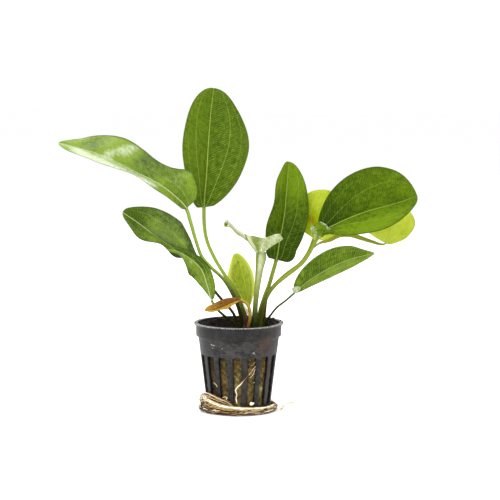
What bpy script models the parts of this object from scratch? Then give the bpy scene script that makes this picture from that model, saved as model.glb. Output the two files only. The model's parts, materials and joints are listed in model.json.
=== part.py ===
"""Potted amazon sword plant: a slotted net pot with its rooting plug, the crown, leaves and roots.

The frame: +Z up, the origin at the centre of the pot's underside, the viewer on the -Y side.
Sizes are in millimetres in the tables below and become metres where a mesh is made.
"""

import math
from dataclasses import dataclass

import bmesh
import bpy
import numpy as np
from mathutils import Matrix

MM = 0.001
GAP = 0.35  # kept between neighbouring pieces

# Pot
POT_HEIGHT = 53.0
LIP_RADIUS = 27.0
LIP_DEPTH = 1.1
LIP_INNER_RADIUS = 24.7
COLLAR_RADIUS = 25.9
COLLAR_DEPTH = 8.2
WALL_TOP_RADIUS = 24.4
FOOT_RADIUS = 18.9
FOOT_FLATS = 18.3  # the underside's corners, as a radius
WALL = 1.2
FLOOR = 1.6
SLOTS = 16
FRONT_SLOT_AZIMUTH = 268.0  # degrees from +X: one slot stands just left of the front
SLOT_TOP = 34.4
SLOT_BOTTOM = 4.5
RIB_WIDTH = 3.5
FLOOR_SLOTS = 8
FLOOR_SLOT_WIDTH = 2.4
FLOOR_SLOT_REACH = (8.0, 14.5)
ROUND_STEPS = 48

# What fills the pot
PLUG_TOP = 39.0
SUBSTRATE_EDGE = 46.0
SUBSTRATE_TOP = 47.0
SUBSTRATE_LUMPS = 0.35
CROWN_CENTRE = (6.3, 0.0)
CROWN_RINGS = ((48.0, 3.6), (50.0, 3.5), (52.5, 2.8), (55.0, 1.7), (57.0, 0.9))

# Leaf lofts
STEM_RINGS = 8
BLADE_RINGS = 13
LEAF_THICKNESS = 0.7
TIP_KEEL = 0.3
STEM_STEP = 0.2
BLADE_STEP = 3.0

# Roots
TUBE_POINTS = 28


def spline(knots, values, at):
    """The values at `at` on a smooth curve through the knots, its slopes taken from the neighbours."""
    knots = np.asarray(knots, float)
    values = np.asarray(values, float)
    slopes = np.gradient(values, knots, axis=0)
    at = np.clip(at, knots[0], knots[-1])
    low = np.clip(np.searchsorted(knots, at, side="right") - 1, 0, len(knots) - 2)
    span = knots[low + 1] - knots[low]
    share = (at - knots[low]) / span
    if values.ndim > 1:
        share, span = share[:, None], span[:, None]
    blend = share * share * (3 - 2 * share)
    start = values[low] * (1 - blend) + values[low + 1] * blend
    pull = slopes[low] * (1 - share) - slopes[low + 1] * share
    return start + span * share * (1 - share) * pull


def rows(table, at):
    """Each column after the first of a table of rows (t, a, b), at every t in `at`."""
    table = np.asarray(table, float)
    return np.stack([np.interp(at, table[:, 0], column) for column in table[:, 1:].T], 1)


def unit(vectors):
    """The vectors at length one."""
    return vectors / np.linalg.norm(vectors, axis=-1, keepdims=True)


def along(points):
    """The distance from the first point to each one."""
    steps = np.linalg.norm(np.diff(points, axis=0), axis=1)
    return np.concatenate([[0.0], np.cumsum(steps)])


@dataclass(frozen=True)
class Leaf:
    """One leaf. Its blade is an ellipse along the midrib, t running from its base to its tip.

    stem and rib are the centre lines of the petiole and the midrib. width gives the ellipse's left and
    right half-widths, slope how far each half rises from the blade's plane, and facing the azimuth and
    elevation that the plane looks to (azimuth 0 is the viewer's side, positive towards +X).
    """

    name: str
    finish: str
    stem: tuple
    rib: tuple
    girth: tuple
    width: tuple
    slope: tuple
    facing: tuple
    curl: tuple = (0.0, 0.0)
    lobe: tuple = (0.0, 0.0)


LEAVES = (
    Leaf(
        "leaf_tall",
        "leaf_green",
        stem=((4.2, 5.6, 48.6), (3.4, 5.4, 57.5), (-1.0, 7.0, 68.5), (-9.3, 9.5, 81.0),
              (-15.2, 11.5, 90.5), (-20.1, 13.2, 102.0), (-21.6, 14.4, 114.0)),
        rib=((-21.2, 15.0, 121.0), (-19.8, 18.0, 140.5), (-18.5, 23.0, 163.0), (-17.2, 27.0, 179.0),
             (-15.5, 31.0, 193.5)),
        girth=(1.6, 1.15),
        width=((0, 19, 20), (0.5, 18.8, 24.8), (1, 17, 18)),
        slope=((0, 45, 20), (0.5, 38, 8), (1, 25, 5)),
        facing=((0, 0, 10), (1, 0, 12)),
    ),
    Leaf(
        "leaf_left_upper",
        "leaf_gloss",
        stem=((1.6, 2.8, 48.6), (1.2, 2.2, 56.0), (-2.8, 1.2, 68.0), (-9.1, -0.4, 78.9),
              (-16.8, -2.2, 86.6), (-22.0, -3.4, 92.8), (-25.2, -4.4, 101.7), (-28.8, -5.4, 114.5)),
        rib=((-31.0, -6.0, 121.6), (-37.7, -7.0, 129.0), (-49.0, -8.6, 137.5), (-60.0, -10.0, 143.2),
             (-81.6, -13.0, 154.0), (-105.3, -16.0, 161.0)),
        girth=(1.3, 1.1),
        width=((0, 14, 30), (0.12, 14, 28), (0.25, 17, 20), (0.5, 19, 18.5), (0.8, 17.5, 17),
               (1, 12, 10)),
        slope=((0, 10, 45), (0.12, 10, 40), (0.2, 15, 18), (0.3, 20, 4), (0.45, 27, 17), (0.6, 24, 28),
               (0.75, 13, 24), (0.9, 8, 10), (1, 5, 10)),
        facing=((0, 0, 63), (1, 0, 63)),
    ),
    Leaf(
        "leaf_left_middle",
        "leaf_gloss",
        stem=((-0.9, -0.7, 48.6), (-2.6, -2.0, 57.2), (-9.4, -4.0, 66.2), (-14.5, -5.6, 72.6),
              (-19.2, -7.6, 80.0)),
        rib=((-23.0, -10.0, 87.0), (-31.0, -14.5, 95.0), (-40.8, -19.0, 101.0), (-51.7, -25.0, 109.5),
             (-60.0, -30.0, 116.5), (-66.6, -34.0, 121.5)),
        girth=(0.9, 0.8),
        width=((0, 3, 8), (0.22, 7, 11.5), (0.4, 13, 15.5), (0.7, 11.5, 15), (1, 8, 12)),
        slope=((0, 10, 5), (0.3, 22, 30), (0.55, 30, 34), (0.8, -8, 20), (1, -20, 15)),
        facing=((0, 0, 50), (1, 0, 48)),
    ),
    Leaf(
        "leaf_left_lower",
        "leaf_gloss",
        stem=((0.2, -4.2, 48.6), (-2.6, -5.6, 52.8), (-8.3, -8.2, 57.6), (-12.6, -10.4, 62.0)),
        rib=((-15.9, -12.4, 67.4), (-18.6, -14.6, 77.0), (-22.2, -17.6, 87.0), (-29.3, -22.0, 94.0),
             (-36.3, -26.4, 98.6), (-42.2, -30.0, 100.6)),
        girth=(0.9, 0.75),
        width=((0, 5, 5), (0.35, 8.8, 4.6), (0.7, 8.5, 4.4), (1, 5, 4)),
        slope=((0, 8, 20), (0.4, 5, 25), (0.7, 12, 20), (1, 20, 10)),
        facing=((0, 0, 35), (1, 0, 45)),
    ),
    Leaf(
        "leaf_centre_upright",
        "leaf_dark",
        stem=((11.6, 2.4, 48.6), (13.0, 3.4, 59.0), (15.6, 4.4, 67.5), (18.0, 5.0, 73.7),
              (20.2, 5.6, 81.0)),
        rib=((22.6, 6.4, 89.6), (24.9, 8.0, 103.0), (27.3, 10.5, 116.0), (28.7, 14.0, 130.0),
             (29.5, 17.0, 139.0), (30.2, 20.0, 148.8)),
        girth=(1.35, 1.2),
        width=((0, 22, 24), (0.03, 20, 23), (0.15, 17, 16), (0.25, 16, 15.5), (0.4, 13.5, 15),
               (1, 9.5, 13.4)),
        slope=((0, 40, 15), (0.5, 48, 8), (1, 40, 0)),
        facing=((0, 4, 8), (1, 4, 14)),
    ),
    Leaf(
        "leaf_right_large",
        "leaf_dark",
        stem=((12.8, -0.9, 48.6), (14.0, -0.8, 57.3), (15.4, -1.4, 65.0), (17.5, -2.0, 70.6),
              (21.4, -2.8, 76.0), (27.4, -3.6, 81.3), (33.2, -4.2, 85.8), (38.0, -4.6, 90.0),
              (42.3, -4.8, 96.0), (46.6, -5.2, 103.2)),
        rib=((51.6, -5.9, 109.0), (58.0, -6.7, 112.6), (74.5, -9.0, 119.8), (93.3, -11.5, 125.2),
             (105.9, -13.5, 129.0)),
        girth=(1.2, 1.0),
        width=((0, 20, 10), (0.25, 23, 15.5), (0.5, 25, 19), (0.8, 26.5, 15), (1, 26, 11)),
        slope=((0, 14, 46), (0.5, 6, 46), (1, 2, 40)),
        facing=((0, 0, 6), (1, 0, 4)),
        lobe=(2.5, 2.5),
    ),
    Leaf(
        "leaf_yellow_inner",
        "leaf_yellow",
        stem=((11.2, 6.0, 48.6), (13.4, 7.6, 58.0), (17.6, 9.4, 69.2), (27.6, 12.0, 79.8),
              (38.4, 14.4, 88.2), (42.4, 15.6, 94.0)),
        rib=((45.6, 16.8, 101.8), (48.6, 18.0, 108.4), (51.8, 20.0, 116.0), (55.0, 22.4, 123.4),
             (58.0, 24.8, 130.0)),
        girth=(0.95, 0.8),
        width=((0, 16.5, 18), (0.5, 16.5, 17), (1, 16.5, 17)),
        slope=((0, 18, 18), (1, 8, 8)),
        facing=((0, -6, 6), (1, -6, 10)),
    ),
    Leaf(
        "leaf_yellow_outer",
        "leaf_yellow",
        stem=((15.2, 2.3, 48.6), (15.6, 3.0, 58.0), (17.8, 4.0, 69.8), (27.5, 5.0, 80.4),
              (38.2, 6.2, 89.0), (42.9, 6.8, 95.0), (48.6, 7.6, 99.8), (55.0, 9.0, 101.6),
              (61.2, 10.4, 104.4), (67.4, 11.6, 104.6), (73.7, 12.8, 102.8), (80.0, 14.0, 100.6)),
        rib=((89.6, 16.0, 99.0), (92.2, 17.0, 103.0), (93.4, 18.4, 108.0), (93.8, 20.4, 116.0),
             (93.0, 22.0, 122.0)),
        girth=(0.95, 0.5),
        width=((0, 31, 5), (0.1, 30, 8), (0.3, 24, 13), (0.6, 18, 14.5), (1, 12, 13)),
        slope=((0, 25, 15), (1, 12, 12)),
        facing=((0, 8, 10), (1, 8, 14)),
        lobe=(5.0, 0.0),
    ),
    Leaf(
        "leaf_young",
        "leaf_pale",
        stem=((9.2, -5.3, 48.6), (9.2, -5.2, 56.0), (10.0, -5.6, 65.6), (11.2, -6.2, 77.0),
              (12.0, -6.8, 87.0)),
        rib=((11.6, -7.6, 96.0), (6.6, -10.4, 102.2), (1.0, -14.0, 107.6), (-3.2, -17.4, 111.0),
             (-7.2, -21.0, 113.6)),
        girth=(1.5, 1.7),
        width=((0, 3.5, 44), (0.05, 3.5, 41), (0.12, 3.5, 17), (0.25, 3.2, 7.5), (0.4, 3, 3.2),
               (0.55, 2.6, 2.0), (1, 2.2, 2.4)),
        slope=((0, -30, 0), (0.4, -40, 10), (1, 60, 60)),
        facing=((0, 0, 20), (0.5, 0, 30), (1, -10, 60)),
        curl=(0.0, -10.0),
        lobe=(0.0, 3.0),
    ),
    Leaf(
        "leaf_small_back",
        "leaf_yellow",
        stem=((7.0, 7.3, 48.6), (6.8, 8.4, 54.0)),
        rib=((6.0, 10.0, 61.0), (4.6, 13.0, 70.5), (2.6, 16.5, 80.0), (0.4, 19.5, 87.8),
             (-1.6, 22.0, 92.9)),
        girth=(1.0, 0.9),
        width=((0, 6, 5), (0.5, 10, 6.6), (1, 6.5, 6)),
        slope=((0, 30, 30), (0.5, 16, 16), (1, 8, 8)),
        facing=((0, 0, 14), (1, 0, 18)),
    ),
    Leaf(
        "leaf_right_lower",
        "leaf_green",
        stem=((14.3, -5.3, 48.6), (15.6, -6.0, 52.5), (19.3, -8.0, 58.4), (22.6, -10.0, 62.9),
              (28.0, -12.2, 67.5)),
        rib=((33.4, -14.4, 72.6), (42.3, -18.0, 80.5), (51.2, -22.0, 86.6), (60.0, -26.5, 91.6),
             (69.0, -31.0, 95.2), (78.6, -36.0, 98.0)),
        girth=(1.0, 0.65),
        width=((0, 9, 6), (0.5, 10, 7.2), (0.8, 8, 6.4), (1, 5, 4)),
        slope=((0, 20, 20), (0.5, 14, 14), (1, 10, 10)),
        facing=((0, 0, 28), (1, 0, 28)),
    ),
    Leaf(
        "leaf_brown",
        "leaf_dead",
        stem=((5.2, -6.2, 48.6), (6.8, -8.6, 56.0), (6.6, -10.0, 62.0), (4.0, -11.6, 66.4)),
        rib=((1.0, -13.0, 68.0), (-4.0, -15.0, 66.8), (-9.0, -17.0, 64.6), (-14.0, -19.5, 63.2),
             (-18.6, -22.0, 63.0)),
        girth=(1.0, 0.9),
        width=((0, 3.5, 3.5), (0.5, 4.2, 4.2), (1, 4, 4)),
        slope=((0, 20, 20), (0.5, 35, 35), (1, 30, 30)),
        facing=((0, 0, 40), (1, 0, 55)),
    ),
)

SHEATH_PATH = ((7.4, -3.0, 56.6), (5.6, -3.2, 59.0), (3.4, -3.4, 63.0), (1.8, -3.6, 66.4))
SHEATH_RADIUS = 0.6

# The roots' routes: azimuth in degrees from +X, distance from the pot's axis, height
THICK_ROOT = ((172, 22.3, 6.9), (185, 22.6, 7.6), (200, 22.6, 7.6), (221, 22.5, 6.6), (243, 22.3, 5.2),
              (262, 22.2, 4.4), (284, 22.2, 4.1), (306, 22.2, 3.9), (334, 22.0, 4.2), (352, 21.7, 4.7))
THICK_ROOT_RADIUS = 0.95
BROWN_ROOT = ((186, 21.3, 9.4), (200, 21.4, 10.2), (222, 21.6, 10.6), (238, 21.6, 9.6), (250, 21.4, 8.2),
              (262, 21.3, 6.6))
BROWN_ROOT_RADIUS = 0.75
FRONT_ROOT = ((9.4, 29.0), (6.6, 25.6), (3.0, 20.9), (0.2, 17.8), (-1.6, 15.4), (-1.1, 12.0), (-1.5, 10.0),
              (-0.8, 7.0))  # x and height; it lies on the pot's wall
FRONT_ROOT_RADIUS = 0.35
STRAY_ROOT = ((25.3, -6.0, 1.0), (26.2, 0.0, 0.7), (27.6, 9.0, 0.5), (31.0, 15.0, 0.5), (35.2, 20.5, 0.5))
STRAY_ROOT_RADIUS = 0.4
MAT_STEPS = 40
MAT_SIDES = 8
MAT_INNER = 20.2
MAT_OUTER = 23.4
MAT_FOOT = 0.15
MAT_HEIGHTS = ((0, 3.0), (60, 3.4), (120, 3.8), (160, 5.0), (190, 5.6), (215, 4.8), (240, 3.6), (265, 2.7),
               (320, 2.3), (360, 3.0))

FINISHES = {
    "pot_plastic": ("3c3c3e", 0.5),
    "rockwool": ("8a7a3f", 0.95),
    "gravel": ("232218", 0.9),
    "crown_skin": ("5a3028", 0.6),
    "dry_sheath_skin": ("d9c9a0", 0.7),
    "leaf_green": ("64802a", 0.45),
    "leaf_gloss": ("7f9a3a", 0.3),
    "leaf_dark": ("4f6b1c", 0.45),
    "leaf_yellow": ("b0bf2c", 0.5),
    "leaf_pale": ("b4c078", 0.5),
    "leaf_dead": ("9e7c38", 0.6),
    "root_pale": ("e2d8c0", 0.7),
    "root_tan": ("8c6f4c", 0.75),
}


def finish(name):
    """The Principled material of one finish, its colour given as sRGB hex."""
    if name in bpy.data.materials:
        return bpy.data.materials[name]
    code, roughness = FINISHES[name]
    encoded = np.array([int(code[i : i + 2], 16) / 255 for i in (0, 2, 4)])
    linear = np.where(encoded <= 0.04045, encoded / 12.92, ((encoded + 0.055) / 1.055) ** 2.4)
    material = bpy.data.materials.new(name)
    material.use_nodes = True
    shader = material.node_tree.nodes["Principled BSDF"]
    shader.inputs["Base Color"].default_value = (*linear, 1.0)
    shader.inputs["Roughness"].default_value = roughness
    material.diffuse_color = (*linear, 1.0)
    return material


def add_object(name, mesh, material, collection, at=(0.0, 0.0, 0.0)):
    """Links a new object for the mesh at a place in millimetres, in its own copy of the finish."""
    made = bpy.data.objects.new(name, mesh)
    made.location = [value * MM for value in at]
    own = finish(material).copy()
    own.name = f"{name}_{material}"
    mesh.materials.clear()
    mesh.materials.append(own)
    mesh.shade_smooth()
    mesh.set_sharp_from_angle(angle=math.radians(40))
    collection.objects.link(made)
    return made


def mesh_of(name, points, faces):
    """A mesh of the points, which are in millimetres, and the faces."""
    mesh = bpy.data.meshes.new(name)
    mesh.from_pydata([tuple(point) for point in np.asarray(points) * MM], [], faces)
    mesh.validate()
    return mesh


def ring_faces(rings, sides, closed=False):
    """Quads between neighbouring rings of points; a closed run joins its last ring to its first."""
    faces = []
    for ring in range(rings if closed else rings - 1):
        after = (ring + 1) % rings
        for side in range(sides):
            beside = (side + 1) % sides
            corners = ((ring, side), (ring, beside), (after, beside), (after, side))
            faces.append(tuple(row * sides + column for row, column in corners))
    return faces


def leaf_frames(leaf, at, blade_start, total, knots, line):
    """Position, direction, the right-hand side and the upward normal at each distance along a leaf.

    A blade's directions are taken over a longer step, so the rings don't cross where the midrib bends.
    """
    step = np.where(at < blade_start, STEM_STEP, BLADE_STEP)
    place = spline(knots, line, at)
    ahead = spline(knots, line, np.minimum(at + step, total))
    behind = spline(knots, line, np.maximum(at - step, 0.0))
    forward = unit(ahead - behind)
    share = np.clip((at - blade_start) / (total - blade_start), 0.0, 1.0)
    azimuth, elevation = np.radians(rows(leaf.facing, share)).T
    look = np.stack(
        [np.sin(azimuth) * np.cos(elevation), -np.cos(azimuth) * np.cos(elevation), np.sin(elevation)], 1
    )
    normal = unit(look - (look * forward).sum(1, keepdims=True) * forward)
    return place, forward, np.cross(forward, normal), normal


def leaf_mesh(leaf):
    """A closed loft: round rings up the petiole, thin rings across the blade, and a point at the tip.

    Its origin is the foot of the petiole.
    """
    line = np.array(leaf.stem + leaf.rib)
    knots = along(line)
    total = knots[-1]
    blade_start = knots[len(leaf.stem)]
    turn = np.pi * np.arange(1, BLADE_RINGS) / BLADE_RINGS
    share = (1 - np.cos(turn)) / 2
    at = np.concatenate(
        [np.linspace(0, blade_start, STEM_RINGS), blade_start + share * (total - blade_start)]
    )
    place, forward, right, normal = leaf_frames(leaf, at, blade_start, total, knots, line)

    foot, neck = leaf.girth
    girth = np.interp(at[:STEM_RINGS], [0, 0.25 * blade_start, blade_start], [foot, neck, neck])
    angles = np.radians([180, 135, 90, 45, 0, -45, -90, -135])
    stem = (
        place[:STEM_RINGS, None]
        + girth[:, None, None] * np.cos(angles)[None, :, None] * right[:STEM_RINGS, None]
        + girth[:, None, None] * np.sin(angles)[None, :, None] * normal[:STEM_RINGS, None]
    )

    place, forward, right, normal = (each[STEM_RINGS:] for each in (place, forward, right, normal))
    swell = np.sin(turn)
    width = rows(leaf.width, share) * swell[:, None]
    slope = rows(leaf.slope, share)
    thick = LEAF_THICKNESS * np.minimum(1.0, width.min(1) / 2)
    keel = leaf.girth[1] + (TIP_KEEL - leaf.girth[1]) * share
    swept = ((1 + np.cos(turn)) / 2) ** 3
    blade = np.empty((len(turn), 8, 3))
    for column, (across, skin) in enumerate(
        ((-1, 0), (-0.5, 1), (0, 1), (0.5, 1), (1, 0), (0.5, -1), (0, -1), (-0.5, -1))
    ):
        side = 0 if across < 0 else 1
        away = right if side else -right
        out = abs(across)
        angle = np.radians(slope[:, side] + leaf.curl[side] * (out - 0.5))[:, None]
        outward = np.cos(angle) * away + np.sin(angle) * normal
        up = np.cos(angle) * normal - np.sin(angle) * away if out else normal
        back = (leaf.lobe[side] * out**2 * swept)[:, None]
        half = keel if across == 0 and skin < 0 else thick / 2
        level = place + out * width[:, side, None] * outward - back * forward
        blade[:, column] = level + skin * half[:, None] * up

    sides = 8
    rings = STEM_RINGS + len(turn)
    points = np.concatenate([stem.reshape(-1, 3), blade.reshape(-1, 3), line[-1:], line[:1]])
    faces = []
    for index, (a, b, c, d) in enumerate(ring_faces(rings, sides)):
        # Both skins are split along the same diagonal, or a twisted blade would cross itself
        if index % sides < sides // 2:
            faces += [(a, b, c), (a, c, d)]
        else:
            faces += [(b, c, d), (b, d, a)]
    last, tip, root = (rings - 1) * sides, rings * sides, rings * sides + 1
    faces += [(last + side, last + (side + 1) % sides, tip) for side in range(sides)]
    faces += [((side + 1) % sides, side, root) for side in range(sides)]
    return mesh_of(leaf.name, points - line[0], faces)


def tube(name, points, radius, material, collection):
    """A round tube along a smooth curve through the points, its ends filled and welded."""
    line = np.asarray(points, float)
    knots = along(line)
    smooth = spline(knots, line, np.linspace(0, knots[-1], TUBE_POINTS)) * MM
    curve = bpy.data.curves.new(name + "_path", "CURVE")
    curve.dimensions = "3D"
    curve.bevel_depth = radius * MM
    curve.bevel_resolution = 1
    curve.use_fill_caps = True
    route = curve.splines.new("POLY")
    route.points.add(len(smooth) - 1)
    route.points.foreach_set("co", np.column_stack([smooth, np.ones(len(smooth))]).ravel())
    guide = bpy.data.objects.new(name + "_path", curve)
    bpy.context.scene.collection.objects.link(guide)
    bpy.context.view_layer.update()
    evaluated = guide.evaluated_get(bpy.context.evaluated_depsgraph_get())
    mesh = bpy.data.meshes.new_from_object(evaluated)
    mesh.name = name
    bpy.data.objects.remove(guide)
    bpy.data.curves.remove(curve)
    shape = bmesh.new()
    shape.from_mesh(mesh)
    bmesh.ops.remove_doubles(shape, verts=shape.verts, dist=1e-6)
    bmesh.ops.recalc_face_normals(shape, faces=shape.faces)
    shape.to_mesh(mesh)
    shape.free()
    return add_object(name, mesh, material, collection)


def around(route):
    """Points in millimetres from rows of azimuth, distance from the axis and height."""
    azimuth, reach, height = np.asarray(route, float).T
    turn = np.radians(azimuth)
    return np.column_stack([reach * np.cos(turn), reach * np.sin(turn), height])


def outer_radius(height):
    """The pot wall's outer radius at a height below its collar."""
    return FOOT_RADIUS + (WALL_TOP_RADIUS - FOOT_RADIUS) * height / (POT_HEIGHT - COLLAR_DEPTH)


def turned(name, profile, steps, material, collection):
    """A solid of revolution: a profile of (radius, height) with a Screw modifier."""
    mesh = bpy.data.meshes.new(name)
    points = [(radius * MM, 0.0, height * MM) for radius, height in profile]
    mesh.from_pydata(points, [(i, i + 1) for i in range(len(points) - 1)], [])
    made = add_object(name, mesh, material, collection)
    screw = made.modifiers.new("turn", "SCREW")
    screw.axis = "Z"
    screw.steps = steps
    screw.render_steps = steps
    screw.use_merge_vertices = True
    screw.merge_threshold = 0.00001
    screw.use_smooth_shade = True
    return made


def wedge(shape, azimuth, reach, low, high, width_low, width_high):
    """Adds to `shape` a block that points outwards at an azimuth, as wide as given at its two heights."""
    made = bmesh.ops.create_cube(shape, size=1.0)["verts"]
    turn = math.radians(azimuth)
    for vertex in made:
        width = width_high if vertex.co.z > 0 else width_low
        out = reach[1] if vertex.co.x > 0 else reach[0]
        side = math.copysign(width / 2, vertex.co.y)
        height = high if vertex.co.z > 0 else low
        vertex.co = (
            (out * math.cos(turn) - side * math.sin(turn)) * MM,
            (out * math.sin(turn) + side * math.cos(turn)) * MM,
            height * MM,
        )


def cut(target, name, shape, cutters, operation="DIFFERENCE"):
    """Cuts `shape` from the target with a Boolean; the cutter stays hidden in its own collection.

    With the operation INTERSECT the target keeps only what lies inside `shape`.
    """
    bmesh.ops.recalc_face_normals(shape, faces=shape.faces)
    mesh = bpy.data.meshes.new(name)
    shape.to_mesh(mesh)
    shape.free()
    cutter = bpy.data.objects.new(name, mesh)
    cutter.hide_render = True
    cutter.display_type = "WIRE"
    cutters.objects.link(cutter)
    boolean = target.modifiers.new(name, "BOOLEAN")
    boolean.operation = operation
    boolean.solver = "EXACT"
    boolean.object = cutter


def build_pot(collection, cutters):
    """The net pot: a turned wall with lip and collar, tall slots round it and short ones in its floor."""
    shoulder = POT_HEIGHT - COLLAR_DEPTH
    profile = (
        (0.0, FLOOR),
        (outer_radius(FLOOR) - WALL, FLOOR),
        (outer_radius(shoulder) - WALL, shoulder),
        (LIP_INNER_RADIUS, shoulder + 1.2),
        (LIP_INNER_RADIUS, POT_HEIGHT - 0.3),
        (LIP_INNER_RADIUS + 0.3, POT_HEIGHT),
        (LIP_RADIUS - 0.3, POT_HEIGHT),
        (LIP_RADIUS, POT_HEIGHT - 0.3),
        (LIP_RADIUS, POT_HEIGHT - LIP_DEPTH + 0.3),
        (COLLAR_RADIUS, POT_HEIGHT - LIP_DEPTH - 0.2),
        (COLLAR_RADIUS - 0.2, shoulder + 0.4),
        (outer_radius(shoulder), shoulder - 0.6),
        (outer_radius(0.0), 0.0),
        (0.0, 0.0),
    )
    pot = turned("pot", profile, ROUND_STEPS, "pot_plastic", collection)

    # The foot's edge has one small flat under each rib: what a cone with 16 sides leaves of the pot
    below, above = 5.0, 55.0
    flats = bmesh.new()
    bmesh.ops.create_cone(
        flats,
        cap_ends=True,
        segments=SLOTS,
        radius1=(FOOT_FLATS - below) * MM,
        radius2=(FOOT_FLATS + above) * MM,
        depth=(below + above) * MM,
        matrix=Matrix.Translation((0, 0, (above - below) / 2 * MM)),
    )
    cut(pot, "foot_flats", flats, cutters, "INTERSECT")

    pitch = 2 * math.pi / SLOTS
    width_low = pitch * outer_radius(SLOT_BOTTOM) - RIB_WIDTH
    width_high = pitch * outer_radius(SLOT_TOP) - RIB_WIDTH
    slots = bmesh.new()
    for index in range(SLOTS):
        azimuth = FRONT_SLOT_AZIMUTH + index * 360 / SLOTS
        wedge(slots, azimuth, (16.6, 30.0), SLOT_BOTTOM, SLOT_TOP, width_low, width_high)
    cut(pot, "slot_cutter", slots, cutters)

    floor_slots = bmesh.new()
    for index in range(FLOOR_SLOTS):
        azimuth = FRONT_SLOT_AZIMUTH + (index + 0.5) * 360 / FLOOR_SLOTS
        wedge(floor_slots, azimuth, FLOOR_SLOT_REACH, -1.0, FLOOR + 1.0, FLOOR_SLOT_WIDTH, FLOOR_SLOT_WIDTH)
    cut(pot, "floor_slot_cutter", floor_slots, cutters)


def build_filling(collection):
    """The rooting plug, the gravel layer with its uneven top, and the crown that stands on it."""
    low = FLOOR + GAP
    plug = (
        (0.0, PLUG_TOP),
        (outer_radius(PLUG_TOP) - WALL - GAP, PLUG_TOP),
        (outer_radius(low) - WALL - GAP, low),
        (0.0, low),
    )
    turned("growing_medium", plug, 32, "rockwool", collection)

    shoulder = POT_HEIGHT - COLLAR_DEPTH
    bottom = PLUG_TOP + GAP
    walls = [outer_radius(bottom) - WALL - GAP, outer_radius(shoulder) - WALL - GAP]
    reach = np.array([*walls, LIP_INNER_RADIUS - 0.9, 15, 10, 5])
    height = np.array([bottom, shoulder - 0.5, SUBSTRATE_EDGE, *[SUBSTRATE_TOP] * 3])
    sides = 28
    azimuth = 2 * np.pi * np.arange(sides) / sides
    lumps = np.random.default_rng(3).uniform(-1, 1, (len(reach), sides)) * SUBSTRATE_LUMPS
    lumps[:2] = 0
    points = np.stack(
        [
            reach[:, None] * np.cos(azimuth),
            reach[:, None] * np.sin(azimuth),
            height[:, None] + lumps,
        ],
        2,
    ).reshape(-1, 3)
    points = np.concatenate([points, [(0, 0, bottom), (0, 0, SUBSTRATE_TOP)]])
    faces = ring_faces(len(reach), sides)
    under, above = len(points) - 2, len(points) - 1
    last = (len(reach) - 1) * sides
    faces += [((side + 1) % sides, side, under) for side in range(sides)]
    faces += [(last + side, last + (side + 1) % sides, above) for side in range(sides)]
    add_object("substrate", mesh_of("substrate", points, faces), "gravel", collection)

    sides = 12
    azimuth = 2 * np.pi * np.arange(sides) / sides
    scales = 1 + 0.08 * np.sin(3 * azimuth)
    rings = [
        np.column_stack(
            [
                radius * scales * np.cos(azimuth),
                radius * scales * np.sin(azimuth),
                np.full(sides, level),
            ]
        )
        for level, radius in CROWN_RINGS
    ]
    points = np.concatenate(rings)
    faces = ring_faces(len(CROWN_RINGS), sides)
    faces.append(tuple(range(sides))[::-1])
    faces.append(tuple(range(len(points) - sides, len(points))))
    add_object("crown", mesh_of("crown", points, faces), "crown_skin", collection, (*CROWN_CENTRE, 0.0))


def build_root_mat(collection):
    """The ring of matted roots round the pot's foot, an uneven band that lies on the table."""
    azimuth = 360 * np.arange(MAT_STEPS) / MAT_STEPS
    height = np.interp(azimuth, *np.array(MAT_HEIGHTS).T)
    uneven = np.random.default_rng(11).uniform(-0.25, 0.25, (MAT_STEPS, MAT_SIDES))
    uneven[:, 0] = 0
    turn = 2 * np.pi * (np.arange(MAT_SIDES) + 0.5) / MAT_SIDES
    middle = (MAT_INNER + MAT_OUTER) / 2
    half = (MAT_OUTER - MAT_INNER) / 2 / np.cos(np.pi / MAT_SIDES)
    rise = (height[:, None] - MAT_FOOT) / 2
    reach = middle + (half + uneven) * np.cos(turn)
    level = MAT_FOOT + rise + rise * np.sin(turn) / np.cos(np.pi / MAT_SIDES)
    radians = np.radians(azimuth)[:, None]
    points = np.stack([reach * np.cos(radians), reach * np.sin(radians), level], 2).reshape(-1, 3)
    faces = [face[::-1] for face in ring_faces(MAT_STEPS, MAT_SIDES, closed=True)]
    add_object("root_mat", mesh_of("root_mat", points, faces), "root_tan", collection)


def build_roots(collection):
    """The mat and the four single roots: one over it, one above that, one on the wall, one loose."""
    build_root_mat(collection)
    tube("root_thick", around(THICK_ROOT), THICK_ROOT_RADIUS, "root_pale", collection)
    tube("root_brown", around(BROWN_ROOT), BROWN_ROOT_RADIUS, "root_tan", collection)
    across, height = np.array(FRONT_ROOT).T
    reach = outer_radius(height) + FRONT_ROOT_RADIUS + GAP
    on_wall = np.column_stack([across, -np.sqrt(reach**2 - across**2), height])
    tube("root_front", on_wall, FRONT_ROOT_RADIUS, "root_pale", collection)
    tube("root_stray", STRAY_ROOT, STRAY_ROOT_RADIUS, "root_pale", collection)


def main():
    """Clears the scene and builds every piece into its collection."""
    for old in list(bpy.data.objects):
        bpy.data.objects.remove(old)
    plant = bpy.data.collections.new("potted_amazon_sword")
    cutters = bpy.data.collections.new("cutters")
    for collection in (plant, cutters):
        bpy.context.scene.collection.children.link(collection)
    cutters.hide_render = True
    build_pot(plant, cutters)
    build_filling(plant)
    for leaf in LEAVES:
        add_object(leaf.name, leaf_mesh(leaf), leaf.finish, plant, leaf.stem[0])
    tube("dry_sheath", SHEATH_PATH, SHEATH_RADIUS, "dry_sheath_skin", plant)
    build_roots(plant)
    holder = bpy.data.objects.new("potted_plant", None)
    for piece in list(plant.objects):
        piece.parent = holder
    plant.objects.link(holder)


main()
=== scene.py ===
"""The looks of the potted amazon sword plant: its leaves, crown, gravel, rooting plug, net pot and roots.

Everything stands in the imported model's frame: +Z up, the origin under the pot's centre, the viewer on
the -Y side. Shapes are worked out in millimetres and become metres where a mesh is made.
"""

from __future__ import annotations

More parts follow.
